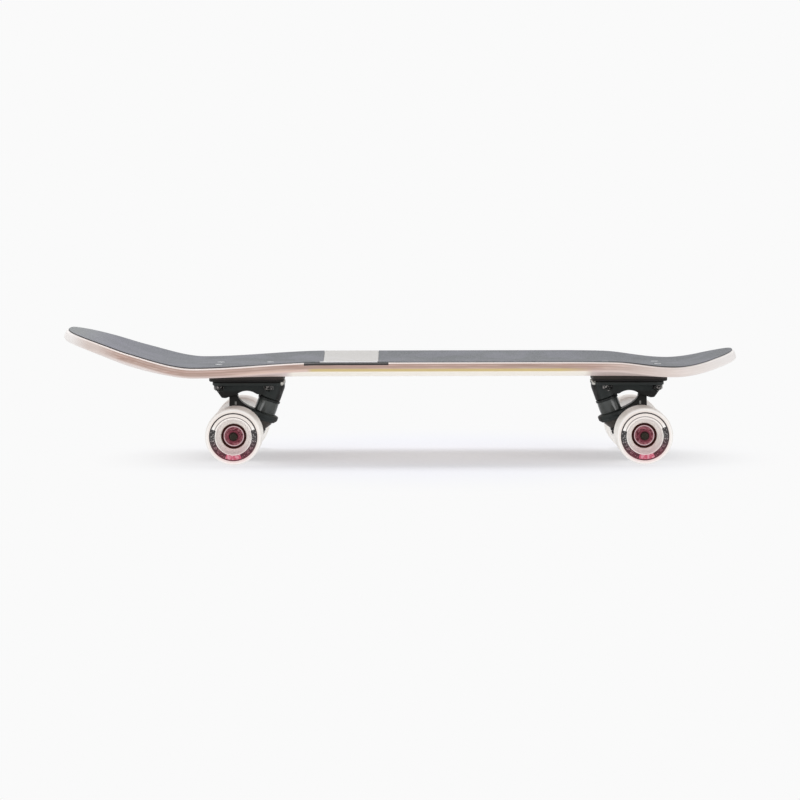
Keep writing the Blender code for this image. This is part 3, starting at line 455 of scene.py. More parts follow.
def thread_tree():
    """A rolled thread: a ridge that winds round Z from 0 up to its length."""
    sizes = {"Radius": 0.004, "Pitch": 0.001, "Length": 0.006, "Steps Per Turn": 20}
    tree, add, given = new_tree("rolled_thread", sizes)
    coil = add(
        "GeometryNodeCurveSpiral",
        Resolution=given["Steps Per Turn"],
        Rotations=add("DIVIDE", given["Length"], given["Pitch"]),
        Start_Radius=given["Radius"],
        End_Radius=given["Radius"],
        Height=given["Length"],
    )
    section = add(CIRCLE, Resolution=6, Radius=add("MULTIPLY", given["Pitch"], 0.42))
    skin = add(SKIN, coil, Profile_Curve=section, Fill_Caps=True)
    close_tree(add, skin, given["Material"])
    return tree


def bolt_group_tree():
    """Stands four copies of a piece at the corners of the truck's bolt pattern."""
    middle = BOLT_LONG / 2 - BOLT_OUTBOARD
    sizes = {"Spacing Long": BOLT_LONG, "Spacing Wide": BOLT_WIDE, "Middle X": middle}
    tree, add, given = new_tree("bolt_group", sizes)
    spacing = (given["Spacing Long"], given["Spacing Wide"])
    corners = add("GeometryNodeMeshGrid", *spacing, Vertices_X=2, Vertices_Y=2)
    moved = add(SET_POSITION, corners, Offset=add(TOGETHER, given["Middle X"], 0.0, 0.0))
    copies = add("GeometryNodeInstanceOnPoints", moved, Instance=given["Geometry"])
    close_tree(add, copies, given["Material"])
    return tree


# Mesh makers


def arc(centre, radius, start, end, steps):
    """Points of a round stretch, as (across, up) pairs."""
    angles = [start + (end - start) * step / steps for step in range(steps + 1)]
    return [(centre[0] + radius * cos(a), centre[1] + radius * sin(a)) for a in angles]


def dome(radius, steps):
    """The profile of a dome about the origin, from its top to its widest."""
    return [(max(r, 0.0), z) for r, z in arc((0.0, 0.0), radius, pi / 2, 0.0, steps)]


def tube(radius, low, high, bore=0.0, flare=0.0):
    """The profile of a rod, or of a tube where it has a bore, wider at the top by the flare."""
    return [(bore, low), (radius, low), (radius + flare, high), (bore, high)]


def mirrored(half):
    """A profile from its half on one side of the middle."""
    return half + [(radius, -height) for radius, height in reversed(half)]


def levels(start, end, steps):
    """Pairs of a share and a value, from start to end."""
    return [(i / steps, start + (end - start) * i / steps) for i in range(steps + 1)]


def hexagon(corner):
    """The corners of a hexagon, each this far from its middle."""
    return [(corner * cos(pi * side / 3), corner * sin(pi * side / 3)) for side in range(6)]


def layer(name, ends, rows, loop, finish):
    """A layer of the board between its ends: rows along it, each a loop of (across, up, out)."""
    half = BOARD["Length"] / 2
    start, stop = (asin(max(-1.0, min(1.0, x / half))) * 2 / pi for x in ends)
    verts, count = [], len(loop)
    for row in range(rows + 1):
        along = start + (stop - start) * row / rows
        verts += [(along, point[0], 0.0) for point in loop]
    faces = []
    for row in range(rows):
        for i in range(count):
            j = (i + 1) % count
            near, far = row * count, (row + 1) * count
            faces.append((near + i, near + j, far + j, far + i))
    if start > -1.0:
        faces.append(tuple(range(count)))
    if stop < 1.0:
        faces.append(tuple(reversed(range(rows * count, (rows + 1) * count))))
    mesh = bpy.data.meshes.new(name)
    mesh.from_pydata(verts, [], faces)
    for label, place in (("up", 1), ("out", 2)):
        values = [point[place] for point in loop] * (rows + 1)
        mesh.attributes.new(label, "FLOAT", "POINT").data.foreach_set("value", values)
    return outwards(grown(name, mesh, "board", finish))


def layer_loop(top, bottom, rim, columns=36):
    """A layer's cross-section as (across, up, out); rim holds its edge from top to bottom."""
    steps = [2 * step / columns - 1 for step in range(columns + 1)]
    over = [(across, top, 0.0) for across in steps]
    under = [(across, bottom, 0.0) for across in reversed(steps)]
    right = [(1.0, up, out) for out, up in rim]
    left = [(-1.0, up, out) for out, up in reversed(rim)]
    return over + right + under + left


def loft(name, loops, finish=None):
    """A skin through loops of equal point counts, closed at both ends."""
    bm = bmesh.new()
    rings = [[bm.verts.new(point) for point in loop] for loop in loops]
    for ring, following in zip(rings, rings[1:]):
        for i in range(len(ring)):
            j = (i + 1) % len(ring)
            bm.faces.new((ring[i], ring[j], following[j], following[i]))
    bm.faces.new(rings[0])
    bm.faces.new(rings[-1])
    bmesh.ops.recalc_face_normals(bm, faces=bm.faces)
    mesh = bpy.data.meshes.new(name)
    bm.to_mesh(mesh)
    bm.free()
    if finish:
        mesh.materials.append(FINISHES[finish])
    return mesh


def slab(name, outline, bottom, top):
    """A flat plate from an (x, y) outline."""
    return loft(name, [[(x, y, z) for x, y in outline] for z in (bottom, top)])


def side_profile(name, outline, half_width):
    """A casting drawn from the side, with a half width for each (x, z)."""
    return loft(name, [[(x, s * half_width(x, z), z) for x, z in outline] for s in (-1, 1)])


def rounded_rectangle(ends, width, corner, steps=10):
    outline = []
    corners = (
        (ends[1] - corner, width / 2 - corner, 0.0),
        (ends[0] + corner, width / 2 - corner, pi / 2),
        (ends[0] + corner, corner - width / 2, pi),
        (ends[1] - corner, corner - width / 2, 3 * pi / 2),
    )
    for x, y, start in corners:
        outline += arc((x, y), corner, start, start + pi / 2, steps)
    return outline


def turned(name, profile, finish=None, sides=96, edge=0.0002, steps=3):
    """A turned piece about Z from (radius, height) points, with its corners eased."""
    mesh = bpy.data.meshes.new(name + "_profile")
    edges = []
    for i, point in enumerate(profile):
        j = (i + 1) % len(profile)
        if max(point[0], profile[j][0]) > 1e-9:
            edges.append((i, j))
    mesh.from_pydata([(r - LATHE_PATH, -z, 0.0) for r, z in profile], edges, [])
    made = grown(name, mesh, "lathe", finish, Sides=sides, Edge_Radius=edge, Edge_Steps=steps)
    return outwards(made)


def outwards(mesh):
    """Turns every face of a closed mesh outwards."""
    bm = bmesh.new()
    bm.from_mesh(mesh)
    bmesh.ops.recalc_face_normals(bm, faces=bm.faces)
    bm.to_mesh(mesh)
    bm.free()
    return mesh


def leaning(mesh, at, tilt):
    """Leans a mesh about Y and moves it."""
    mesh.transform(Matrix.Translation(at) @ Matrix.Rotation(tilt, 4, "Y"))
    return mesh


def on_kingpin(mesh):
    return leaning(mesh, RING_CENTRE, KINGPIN_TILT)


def on_axle(mesh):
    mesh.transform(Matrix.Translation((0.0, 0.0, AXLE_Z)) @ Matrix.Rotation(pi / 2, 4, "X"))
    return mesh


def combined(name, mesh, joins=(), within=(), cuts=(), cast=False, finish=None):
    """Fuses the joins, keeps what is within, takes out the cuts; cast softens it like a casting."""
    piece = linked(name, mesh)
    helpers = []
    for tools, operation in ((joins, "UNION"), (within, "INTERSECT"), (cuts, "DIFFERENCE")):
        for tool in tools:
            helper = linked(tool.name, tool)
            helper.hide_render = True
            helpers.append(helper)
            modify(piece, "BOOLEAN", operation=operation, object=helper, solver="EXACT")
    if cast:
        modify(piece, "REMESH", mode="VOXEL", voxel_size=CAST_GRAIN)
        modify(piece, "SMOOTH", factor=0.5, iterations=CAST_SMOOTHING)
        modify(piece, "DECIMATE", ratio=CAST_FACES_KEPT)
    made = plain(piece)
    for helper in helpers:
        bpy.data.objects.remove(helper)
    if finish:
        made.materials.clear()
        made.materials.append(FINISHES[finish])
    return made


def joined(name, meshes):
    """Several meshes as one, each with its own material."""
    bm = bmesh.new()
    kept = []
    for mesh in meshes:
        finish = mesh.materials[0] if mesh.materials else None
        if finish not in kept:
            kept.append(finish)
        start = len(bm.faces)
        bm.from_mesh(mesh)
        bm.faces.ensure_lookup_table()
        for face in bm.faces[start:]:
            face.material_index = kept.index(finish)
    made = bpy.data.meshes.new(name)
    bm.to_mesh(made)
    bm.free()
    for finish in kept:
        made.materials.append(finish)
    return made


def placed(mesh, matrix):
    """A copy of a mesh, moved to its place."""
    made = mesh.copy()
    made.transform(matrix)
    return made


BODY_OF = {
    node: body for body, nodes in frame["record"]["behaviour"]["bodies"].items() for node in nodes
}
JOINTS = {joint["name"]: joint for joint in frame["joints"]}


def stand_for(mesh, *nodes, bends=()):
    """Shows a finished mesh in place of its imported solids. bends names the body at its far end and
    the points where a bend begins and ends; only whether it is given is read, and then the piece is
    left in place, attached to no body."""
    mesh.shade_smooth()
    mesh.set_sharp_from_angle(angle=SHARP_ANGLE)
    piece = linked(nodes[0] + "_finished", mesh)
    if bends:
        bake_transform(piece)
    else:
        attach(piece, BODY_OF[nodes[0]])
    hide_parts(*nodes)


# Materials


def per_metre(millimetres):
    """A texture's scale for a feature of this size."""
    return 1000.0 / millimetres


def new_finish(name, **sockets):
    """A material with its shader's plain values; returns it with its add, shader and place."""
    made = bpy.data.materials.new(name)
    made.use_nodes = True
    add = partial(add_node, made.node_tree)
    shader = add(made.node_tree.nodes["Principled BSDF"], **sockets)
    return made, add, shader, add("ShaderNodeTexCoord").outputs["Object"]


def painted(add, colour, *layers):
    """Lays tones over a colour, each one where all of its masks meet."""
    for tone, mask, *others in layers:
        for other in others:
            mask = add("MULTIPLY", mask, other)
        colour = add(TINT, mask, colour, tone)
    return colour


def middle_and_reach(ends):
    return (ends[0] + ends[1]) / 2, (ends[1] - ends[0]) / 2


def maple_plywood():
    """Seven rotary-cut maple plies under satin lacquer: fine lengthwise grain with long pointed
    figures, ply lines along the rail, and a yellow stain low on it between the trucks."""
    made, add, shader, place = new_finish(
        "lacquered_maple_plywood", Roughness=0.42, IOR=1.5, Coat_Weight=0.15, Coat_Roughness=0.3
    )
    x = add(APART, place).outputs["X"]
    up = add(ATTRIBUTE, attribute_name="up").outputs["Fac"]
    # The figure is 9 mm wide and twelve times as long, the patches are broad and pointed where the
    # cut runs out of a growth ring, and pores are drawn 1.2 mm wide so that they show
    grains = []
    for stretch, size, detail, bend in (
        ((0.085, 1.0, 1.0), 26, 2.0, 0.6),
        ((0.11, 1.0, 1.6), 11, 1.0, 0.0),
        ((0.05, 1.0, 1.0), 1.2, 3.0, 0.0),
    ):
        along = add(MAPPING, place, Scale=stretch)
        grains.append(add(NOISE, along, per_metre(size), Detail=detail, Distortion=bend))
    figure, patches, pores = grains
    rings = add("PINGPONG", add("MULTIPLY", figure, 9.0), 1.0)
    wood = add(TINT, rings, "C2ABA2", "D8C6BD")
    wood = painted(add, wood, ("E2C6BE", add(FADE, patches, 0.48, 0.58, 0.0, 0.65)))
    wood = add(TINT, pores, wood, "AE9286", blend_type="MULTIPLY")
    # Every second ply runs across and shows darker on the rail
    layer = add(FADE, up, -THICKNESS / 2, THICKNESS / 2, 0.0, float(PLIES))
    crossways = add("GREATER_THAN", add("MODULO", layer, 2.0), 1.0)
    rim = add("COMPARE", up, 0.0, THICKNESS / 2 - 0.0005)
    from_middle = add("ABSOLUTE", add("SUBTRACT", x, MIDDLE_X))
    # Low on the rail the wood is paler, most towards the ends: painted bounce light from below
    bounce_lit_tone = add(TINT, add(FADE, from_middle, 0.22, 0.27), "DAC6C2", "E6DCD9")
    wood = painted(
        add,
        wood,
        ("AA8E82", crossways, rim),
        # The top ply is pale maple, plus painted highlight on the top edge's rounding
        ("E4D8D3", add("GREATER_THAN", up, 0.0033)),
        (bounce_lit_tone, add(FADE, up, -0.0024, -0.0048, 0.0, 0.8)),
    )
    # Both ends are greyer than the middle, and the tips are painted nearly white: painted light that washes them
    # out
    for tone, share, nose, tail in (
        ("D8CCC6", 0.75, (0.205, 0.28), (-0.298, -0.322)),
        ("ECE8E6", 0.90, (0.28, 0.35), (-0.333, -0.352)),
    ):
        to_nose, to_tail = [add(FADE, x, *fade, 0.0, share) for fade in (nose, tail)]
        wood = painted(add, wood, (tone, add("MAXIMUM", to_nose, to_tail)))
    # Low on the rail: paler wood behind the yellow stain, the stain, and between the riser pads the
    # nearly white lowest ply, its white paint lifted by painted bounce light. High on it: the dark
    # strip beside the pale band
    low = add(FADE, up, -0.0014, -0.0026)
    rear, front = STAIN_X
    paler = add(FADE, x, -0.185, -0.160, 0.0, 0.5)
    behind = add(FADE, x, rear, rear + 0.006, 1.0, 0.0)
    stain_rear = add(FADE, x, rear, rear + 0.006)
    stain_front = add(FADE, x, front, front - 0.035)
    middle, reach = middle_and_reach(BARE_PLY_X)
    from_middle = add("ABSOLUTE", add("SUBTRACT", x, middle))
    between = add(FADE, from_middle, reach, reach - 0.008)
    strip = add("COMPARE", x, *middle_and_reach(STRIP_X))
    wood = painted(
        add,
        wood,
        ("E8CCBC", paler, low, behind, add(FADE, up, -0.0044, -0.0036)),
        ("C8B27A", stain_rear, stain_front, low),
        ("FFF8EC", between, add(FADE, up, -0.0044, -0.0051)),
        ("140A07", strip, add("GREATER_THAN", up, 0.0018)),
    )
    add(shader, Base_Color=wood, Normal=add(BUMP, Distance=0.00008, Height=pores))
    return made


def grip_tape(name, dark, light, tail, cut, bare):
    """Silicon carbide grit on a stuck-down film: matt, sparkling a little, greyer where feet rub.
    Real grit is 0.2 mm; it is drawn at 0.9 mm so that it shows."""
    made, add, shader, place = new_finish(name, Roughness=0.95, Specular_IOR_Level=0.25)
    x = add(APART, place).outputs["X"]
    up = add(ATTRIBUTE, attribute_name="up").outputs["Fac"]
    grit = add(CELLS, place, per_metre(0.9)).outputs["Distance"]
    rubbing_and_glints = add(NOISE, place, per_metre(60), Detail=3.0)
    amount = add("MULTIPLY_ADD", rubbing_and_glints, 0.35, add("MULTIPLY", grit, 0.9))
    # Dust lies in wide cloudy patches, and the cut edge shows the film
    dusty = add(NOISE, place, per_metre(34), Detail=2.0, Distortion=0.8)
    film_from, film_to = THICKNESS / 2 + 0.0011, THICKNESS / 2 + 0.0008
    from_middle = add("ABSOLUTE", add("SUBTRACT", x, MIDDLE_X))
    tone = painted(
        add,
        add(TINT, amount, light, dark),
        (tail, add(FADE, x, -0.20, -0.34, 0.0, 0.4)),
        ("989B99", add(FADE, x, -0.315, -0.350, 0.0, 0.6)),
        (tail, add(FADE, dusty, 0.45, 0.65, 0.0, 0.24)),
        (
            cut,
            add(FADE, up, film_from, film_to, 0.0, 0.9),
            add(FADE, from_middle, bare, bare + 0.06),
            add(FADE, x, 0.290, 0.325, 1.0, 0.25),
        ),
    )
    add(shader, Base_Color=tone, Normal=add(BUMP, Distance=0.0003, Height=grit))
    return made


def cast_aluminium_paint():
    """Sand-cast aluminium under black powder paint: satin, with a soft pebble and dull edges."""
    made, add, shader, place = new_finish(
        "black_powder_paint", Roughness=0.48, IOR=1.45, Specular_IOR_Level=0.35
    )
    x, y, z = add(APART, place).outputs
    across = add("ABSOLUTE", y)
    outboard = add("ABSOLUTE", add("SUBTRACT", x, BETWEEN_AXLES_X))
    pebble = add(NOISE, place, per_metre(1.6), Detail=2.0)
    cloud = add(NOISE, place, per_metre(22), Detail=2.0)
    # Painted shade blackens the recessed middle, the joint under the riser and the hanger's arm
    middle = add(FADE, across, 0.0105, 0.0085, 0.0, 0.9)
    top = add(FADE, z, PLATE_TOP - 0.0018, PLATE_TOP - 0.0010, 0.0, 0.9)
    arm = add(FADE, outboard, 0.2035, 0.2065, 0.0, 0.95)
    for limit in (add(FADE, z, 0.0735, 0.0705), add(FADE, across, 0.034, 0.022)):
        arm = add("MULTIPLY", arm, limit)
    painted_shade = add("MAXIMUM", add("MAXIMUM", middle, top), arm)
    # Painted highlights: bare-metal spots at the flange's inboard end and one on each hanger's post stand for
    # light caught there
    painted_highlight = add(ATTRIBUTE, attribute_name="painted_highlight").outputs["Fac"]
    highlight_spots = add(NOISE, place, per_metre(2.5), Detail=2.0)
    highlight_spots = add(FADE, add("MULTIPLY_ADD", highlight_spots, 2.0, painted_highlight), 1.84, 2.0)
    post_highlight_x = add("COMPARE", outboard, 0.2201, 0.0010)
    post_highlight_z = add("COMPARE", z, 0.0588, 0.0017)
    post_highlight = add("MULTIPLY", add("MULTIPLY", post_highlight_x, post_highlight_z), 0.35)
    coat = painted(
        add,
        add(TINT, cloud, "1B2020", "252B2A"),
        ("0A0806", painted_shade),
        ("C9C9C4", add("MAXIMUM", highlight_spots, post_highlight)),
    )
    rough = add(FADE, cloud, 0.3, 0.7, 0.42, 0.56)
    bump = add(BUMP, Distance=0.00012, Height=pebble)
    add(shader, Base_Color=coat, Roughness=rough, Normal=bump)
    return made


def rubber_pad():
    """Moulded hard rubber: matt brown-black with a faint bloom, and painted shadow along its lower edge."""
    made, add, shader, place = new_finish(
        "moulded_riser_rubber", Roughness=0.72, IOR=1.5, Specular_IOR_Level=0.35
    )
    z = add(APART, place).outputs["Z"]
    bloom = add(NOISE, place, per_metre(14), Detail=3.0)
    skin = add(NOISE, place, per_metre(0.9), Detail=2.0)
    # Painted shadow darkens the lowest 2 to 3 mm, where the pad meets the flange
    painted_shadow = add(FADE, z, RISER_BOTTOM + 0.0032, RISER_BOTTOM + 0.0020, 0.0, 0.85)
    rubber = painted(add, add(TINT, bloom, "26211F", "3A3330"), ("060706", painted_shadow))
    add(shader, Base_Color=rubber, Normal=add(BUMP, Distance=0.00008, Height=skin))
    return made


def cast_urethane(name, low, high, roughness, shine=0.35):
    """Poured polyurethane: smooth and slightly waxy, with faint clouding."""
    made, add, shader, place = new_finish(
        name, Roughness=roughness, IOR=1.5, Specular_IOR_Level=shine
    )
    cloud = add(NOISE, place, per_metre(9), Detail=3.0)
    flow = add(NOISE, place, per_metre(3.5), Detail=1.0)
    tone = add(TINT, cloud, low, high)
    add(shader, Base_Color=tone, Normal=add(BUMP, Distance=0.00006, Height=flow))
    return made


def steel(name, low, high, roughness, metallic=1.0, streak=1.2, rubbing_and_glints=(0.0, 1.0)):
    """Turned or plated steel: fine tool marks that break up the shine."""
    made, add, shader, place = new_finish(name, Metallic=metallic)
    # A narrow range here leaves a dark tone with sparse bright specks: painted glints on the bolts and nuts
    marks = add(FADE, add(NOISE, place, per_metre(streak), Detail=3.0), *rubbing_and_glints)
    tone = add(TINT, marks, low, high)
    rough = add(FADE, marks, 0.3, 0.7, roughness - 0.06, roughness + 0.08)
    bump = add(BUMP, Distance=0.00003, Height=marks)
    add(shader, Base_Color=tone, Roughness=rough, Normal=bump)
    return made


def shield_rubber():
    """Red rubber bearing shield, moulded on steel: satin, with fine pressed rings 0.8 mm apart."""
    made, add, shader, place = new_finish(
        "red_bearing_rubber", Roughness=0.4, IOR=1.5, Specular_IOR_Level=0.4
    )
    radius = add("VECTOR_LENGTH", add(ATTRIBUTE, attribute_name="face").outputs["Vector"])
    rings = add("PINGPONG", add("DIVIDE", radius, 0.0008), 0.5)
    cloud = add(FADE, add(NOISE, place, per_metre(3), Detail=2.0), 0.38, 0.62)
    tone = add(TINT, cloud, "6E2432", "BA7480")
    add(shader, Base_Color=tone, Normal=add(BUMP, Distance=0.0001, Height=rings))
    return made


def wheel_urethane():
    """Off-white poured polyurethane, slightly waxy, dusty on the tread, with a printed ring on the
    outer face: a dark band with ticks below, a white band above and a pink tab at the bottom."""
    made, add, shader, place = new_finish("poured_wheel_urethane", Roughness=0.36, IOR=1.5)
    face = add(ATTRIBUTE, attribute_name="face").outputs["Vector"]
    radius = add("VECTOR_LENGTH", face)
    face_x, face_y, tread = add(APART, face).outputs
    # The angle is zero at the bottom and pi at the top, on both sides
    angle = add("ARCTAN2", add("ABSOLUTE", face_x), add("MULTIPLY", face_y, -1.0))
    cloud = add(NOISE, place, per_metre(11), Detail=3.0)
    # Painted light: the lip, and the inner faces that take its tone, are paler; the dish is creamier, with painted
    # shade greyest towards the hub
    lit_lip_tone = add(TINT, cloud, "F4F0ED", "FAF8F6")
    dish_shade = add("MULTIPLY_ADD", cloud, 0.5, add(FADE, radius, 0.0142, 0.0168))
    cream = add(TINT, dish_shade, "D2C8C0", "FAF5F1")
    # Ink has bled a faint pink into the lip below the tab, and dust lies on the tread
    bled = add(FADE, angle, radians(75), radians(30), 0.0, 0.35)
    dust = add(NOISE, place, per_metre(5), Detail=4.0)
    # The band's ticks are uneven, 2 mm apart and clearest at the sides
    tick_place = add(MAPPING, add(TOGETHER, angle, radius, 0.0), Scale=(13.0, 900.0, 1.0))
    ticks = add(FADE, add(CELLS, tick_place, 1.0).outputs["Distance"], 0.44, 0.28)
    shade = add(FADE, angle, radians(85), radians(35))
    ink, rim_ink, tick_tone = [
        add(TINT, shade, *tones)
        for tones in (("2A2627", "4A0A1C"), ("2A2224", "5A1626"), ("ACA6A6", "A8606E"))
    ]
    tick_band = add("COMPARE", radius, 0.0222, 0.0020)
    ink = painted(add, ink, (tick_tone, ticks, tick_band, 0.85))
    tab_flow = add(FADE, add(NOISE, place, per_metre(2.2), Detail=1.0), 0.45, 0.6)
    tab_tone = add(TINT, tab_flow, "BC4C64", "D08A98")
    # The white band is brightest at its two ends, painted highlights there, and faint over its top
    white = add("COMPARE", radius, 0.0227, 0.0014)
    white_band_glints = add(FADE, angle, radians(124), radians(113), 0.1, 1.0)
    upper = add("GREATER_THAN", angle, radians(110))
    tone = painted(
        add,
        add(TINT, cloud, "E0D6CF", "EAE1DB"),
        (lit_lip_tone, add(SOFT_FADE, radius, 0.0262, 0.0288)),
        (cream, add(SOFT_FADE, radius, 0.0202, 0.0192)),
        ("E8B4BA", bled, add(FADE, radius, 0.0300, 0.0262)),
        ("C2B6A2", dust, add("GREATER_THAN", tread, 0.5), 0.45),
        (ink, add("COMPARE", radius, 0.0224, 0.0029), add("LESS_THAN", angle, radians(110))),
        ("807A7B", add("COMPARE", radius, 0.0208, 0.0004), upper),
        ("F4F1EE", white, white_band_glints, upper),
        (tab_tone, add("COMPARE", radius, 0.0222, 0.0026), add("LESS_THAN", angle, radians(21))),
        (rim_ink, add("COMPARE", radius, 0.0249, 0.0007)),
    )
    flow = add(NOISE, place, per_metre(4), Detail=1.0)
    add(shader, Base_Color=tone, Normal=add(BUMP, Distance=0.00005, Height=flow))
    return made


def make_finishes():
    return {
        "maple": maple_plywood(),
        "grip": grip_tape("grey_grip_tape", "67696C", "999B9F", "9796A2", "3E3D3F", 0.16),
        "band": grip_tape("pale_grip_tape_grit", "BFBDBA", "DAD8D7", "D2D1D2", "F2F2F4", -0.06),
        "riser": rubber_pad(),
        "paint": cast_aluminium_paint(),
        "cup": cast_urethane("pivot_cup_urethane", "1C1C1C", "262626", 0.5),
        "bushing": cast_urethane("bushing_urethane", "343837", "434745", 0.14, 0.55),
        "lower_bushing": cast_urethane("greasy_bushing_urethane", "28231F", "3A332D", 0.3, 0.4),
        "washer": steel("black_plated_washer", "1A1C1C", "2B2D2D", 0.42, 0.7),
        # The bolts' and nuts' sparse bright specks are painted glints
        "fastener": steel(
            "rubbed_black_oxide_bolts", "161616", "928E8C", 0.3, 0.85, 2.2, (0.46, 0.64)
        ),
        "bright": steel("zinc_plated_steel", "A9ABAD", "C8CACB", 0.28),
        "axle": steel("axle_steel_blackened", "1B1712", "322C22", 0.4, 0.7),
        "ring": steel("ground_bearing_steel", "C4A0A4", "ECCCD0", 0.35),
        "nut": steel("wine_red_zinc_axle_nuts", "4C121D", "8A3A4C", 0.4, 0.5),
        "nylon": cast_urethane("lock_nut_nylon", "10130F", "1A201B", 0.6, 0.2),
        "insert": cast_urethane("red_lock_nut_nylon", "42161C", "56262C", 0.6, 0.2),
        # The core's near-black tone is painted shade for the gap round the bearings
        "core": cast_urethane("moulded_wheel_core", "30130F", "3C1B17", 0.7, 0.1),
        "wheel": wheel_urethane(),
        "shield": shield_rubber(),
    }


# Pieces of the board


def make_board():
    half = THICKNESS / 2
    radius = BOARD["Edge Radius"]
    length = BOARD["Length"] / 2
    upper = arc((0.0, half - radius), radius, pi / 2, 0.0, 6)[1:]
    lower = arc((0.0, radius - half), radius, 0.0, -pi / 2, 6)[:-1]
    loop = layer_loop(half, -half, upper + lower)
    stand_for(layer("deck", (-length, length), 240, loop, "maple"), "deck")

    low = half + GAP / 3
    high = half + GAP + GRIP_THICKNESS
    reach = radius - GRIP_INSET
    loop = layer_loop(high, low, [(reach, high - 0.0002), (reach + 0.0001, low)])
    holes = bolt_holes()
    rear, front = BAND_X
    for name, ends, finish, rows in (
        ("grip_rear", (-length, rear), "grip", 120),
        ("grip_band", (rear + GAP, front - GAP), "band", 24),
        ("grip_front", (front, length), "grip", 160),
    ):
        sheet = layer(name, ends, rows, loop, finish)
        if name != "grip_band":
            sheet = combined(name, sheet, cuts=[holes.copy()])
            # Points round a hole take the height of the sheet's top
            for point in sheet.attributes["up"].data:
                point.value = point.value or high
        stand_for(sheet, name)


def bolt_holes():
    """Cutters that open the grip tape over the eight bolt heads."""
    hole = turned("bolt_hole", tube(BOLT_HOLE_RADIUS, *BOLT_HOLE_Z), sides=32)
    four = grown("bolt_holes", hole, "bolts")
    return joined("bolt_holes", [placed(four, truck) for truck in TRUCKS.values()])


# Truck pieces, in the truck's frame


def make_riser():
    inset = (RISER_ENDS[0] + RISER_EDGE, RISER_ENDS[1] - RISER_EDGE)
    outer = rounded_rectangle(RISER_ENDS, RISER_WIDTH, RISER_CORNER)
    inner = rounded_rectangle(inset, RISER_WIDTH - 2 * RISER_EDGE, RISER_CORNER - RISER_EDGE)
    rings = (
        (inner, RISER_BOTTOM),
        (outer, RISER_BOTTOM + RISER_EDGE),
        (outer, RISER_TOP - RISER_EDGE),
        (inner, RISER_TOP),
    )
    return loft("riser_pad", [[(x, y, z) for x, y in ring] for ring, z in rings], "riser")


def along_kingpin(across, up):
    """A point given across and along the kingpin, as (x, z)."""
    x = RING_CENTRE.x + across * cos(KINGPIN_TILT) + up * sin(KINGPIN_TILT)
    return x, RING_CENTRE.z - across * sin(KINGPIN_TILT) + up * cos(KINGPIN_TILT)


def make_baseplate():
    """The baseplate casting: flange, arch, kingpin boss and the socket of the pivot cup."""
    inside = (PLATE_TOP + PLATE_BOTTOM) / 2
    outline = rounded_rectangle(PLATE_ENDS, PLATE_WIDTH, PLATE_CORNER)
    flange = slab("baseplate", outline, PLATE_BOTTOM, PLATE_TOP)
    toe_z = ARCH_TOP - 0.0080
    body_outline = [
        (PLATE_ENDS[0] + 0.0010, inside),
        (PLATE_ENDS[0] + 0.0013, PLATE_BOTTOM - 0.0028),
        (PIVOT.x - 0.0084, toe_z + 0.0004),
        (PIVOT.x - 0.0042, toe_z),
        (PIVOT.x, toe_z + 0.0014),
        *arc((ARCH_CENTRE, ARCH_TOP - ARCH_RADIUS), ARCH_RADIUS, *ARCH_ENDS, 24),
        along_kingpin(-BOSS_RADIUS * 0.55, BOSS_FACE + 0.0015),
        along_kingpin(BOSS_RADIUS * 0.80, BOSS_FACE + 0.0080),
        (PLATE_ENDS[1] - 0.0040, inside),
    ]

    def body_half(x, z):
        narrowing = BODY_NARROWING * (x - PLATE_ENDS[0])
        return BODY_WIDTH / 2 - narrowing - BODY_DRAFT * (PLATE_BOTTOM - z)

    body = side_profile("baseplate_body", body_outline, body_half)
    boss = on_kingpin(turned("kingpin_boss", tube(BOSS_RADIUS, BOSS_FACE, 0.052), edge=0.001))
    below = slab("below_flange", outline, RING_CENTRE.z, inside)
    boss = combined("kingpin_boss", boss, within=[below])
    # The pivot cup's socket, and the slot that opens it to the post
    radius = NOSE_RADIUS + CUP_WALL + 2 * GAP
    socket_profile = dome(radius, 12) + [(radius, -0.0071), (0.0, -0.0071)]
    socket = turned("pivot_socket", socket_profile, sides=48, edge=0.0)
    mouth = Vector((sin(PIVOT_TILT), 0.0, cos(PIVOT_TILT)))
    along = Vector((cos(PIVOT_TILT), 0.0, -sin(PIVOT_TILT)))
    mouth_middle = PIVOT - mouth * (CUP_DEPTH + GAP)
    low, high = mouth_middle - along * 0.016, mouth_middle + along * 0.0125
    floor = high.z - 0.020
    slot_outline = [(low.x, low.z), (high.x, high.z), (high.x, floor), (low.x, floor)]
    slot = side_profile("pivot_slot", slot_outline, lambda x, z: radius + 0.0006)
    bore = turned("kingpin_bore", tube(KINGPIN_BORE, 0.016, 0.0324), sides=48, edge=0.0)
    cuts = [leaning(socket, PIVOT, PIVOT_TILT), slot, on_kingpin(bore)]
    made = combined("baseplate", flange, [body, boss], cuts=cuts, cast=True, finish="paint")
    # The flange's inboard corners carry the painted highlight
    painted_highlight = []
    for vert in made.vertices:
        at_end = vert.co.x > PLATE_ENDS[1] - 0.0035 and vert.co.z > PLATE_BOTTOM - 0.0008
        painted_highlight.append(float(at_end and abs(vert.co.y) > 0.012))
    made.attributes.new("painted_highlight", "FLOAT", "POINT").data.foreach_set("value", painted_highlight)
    return made


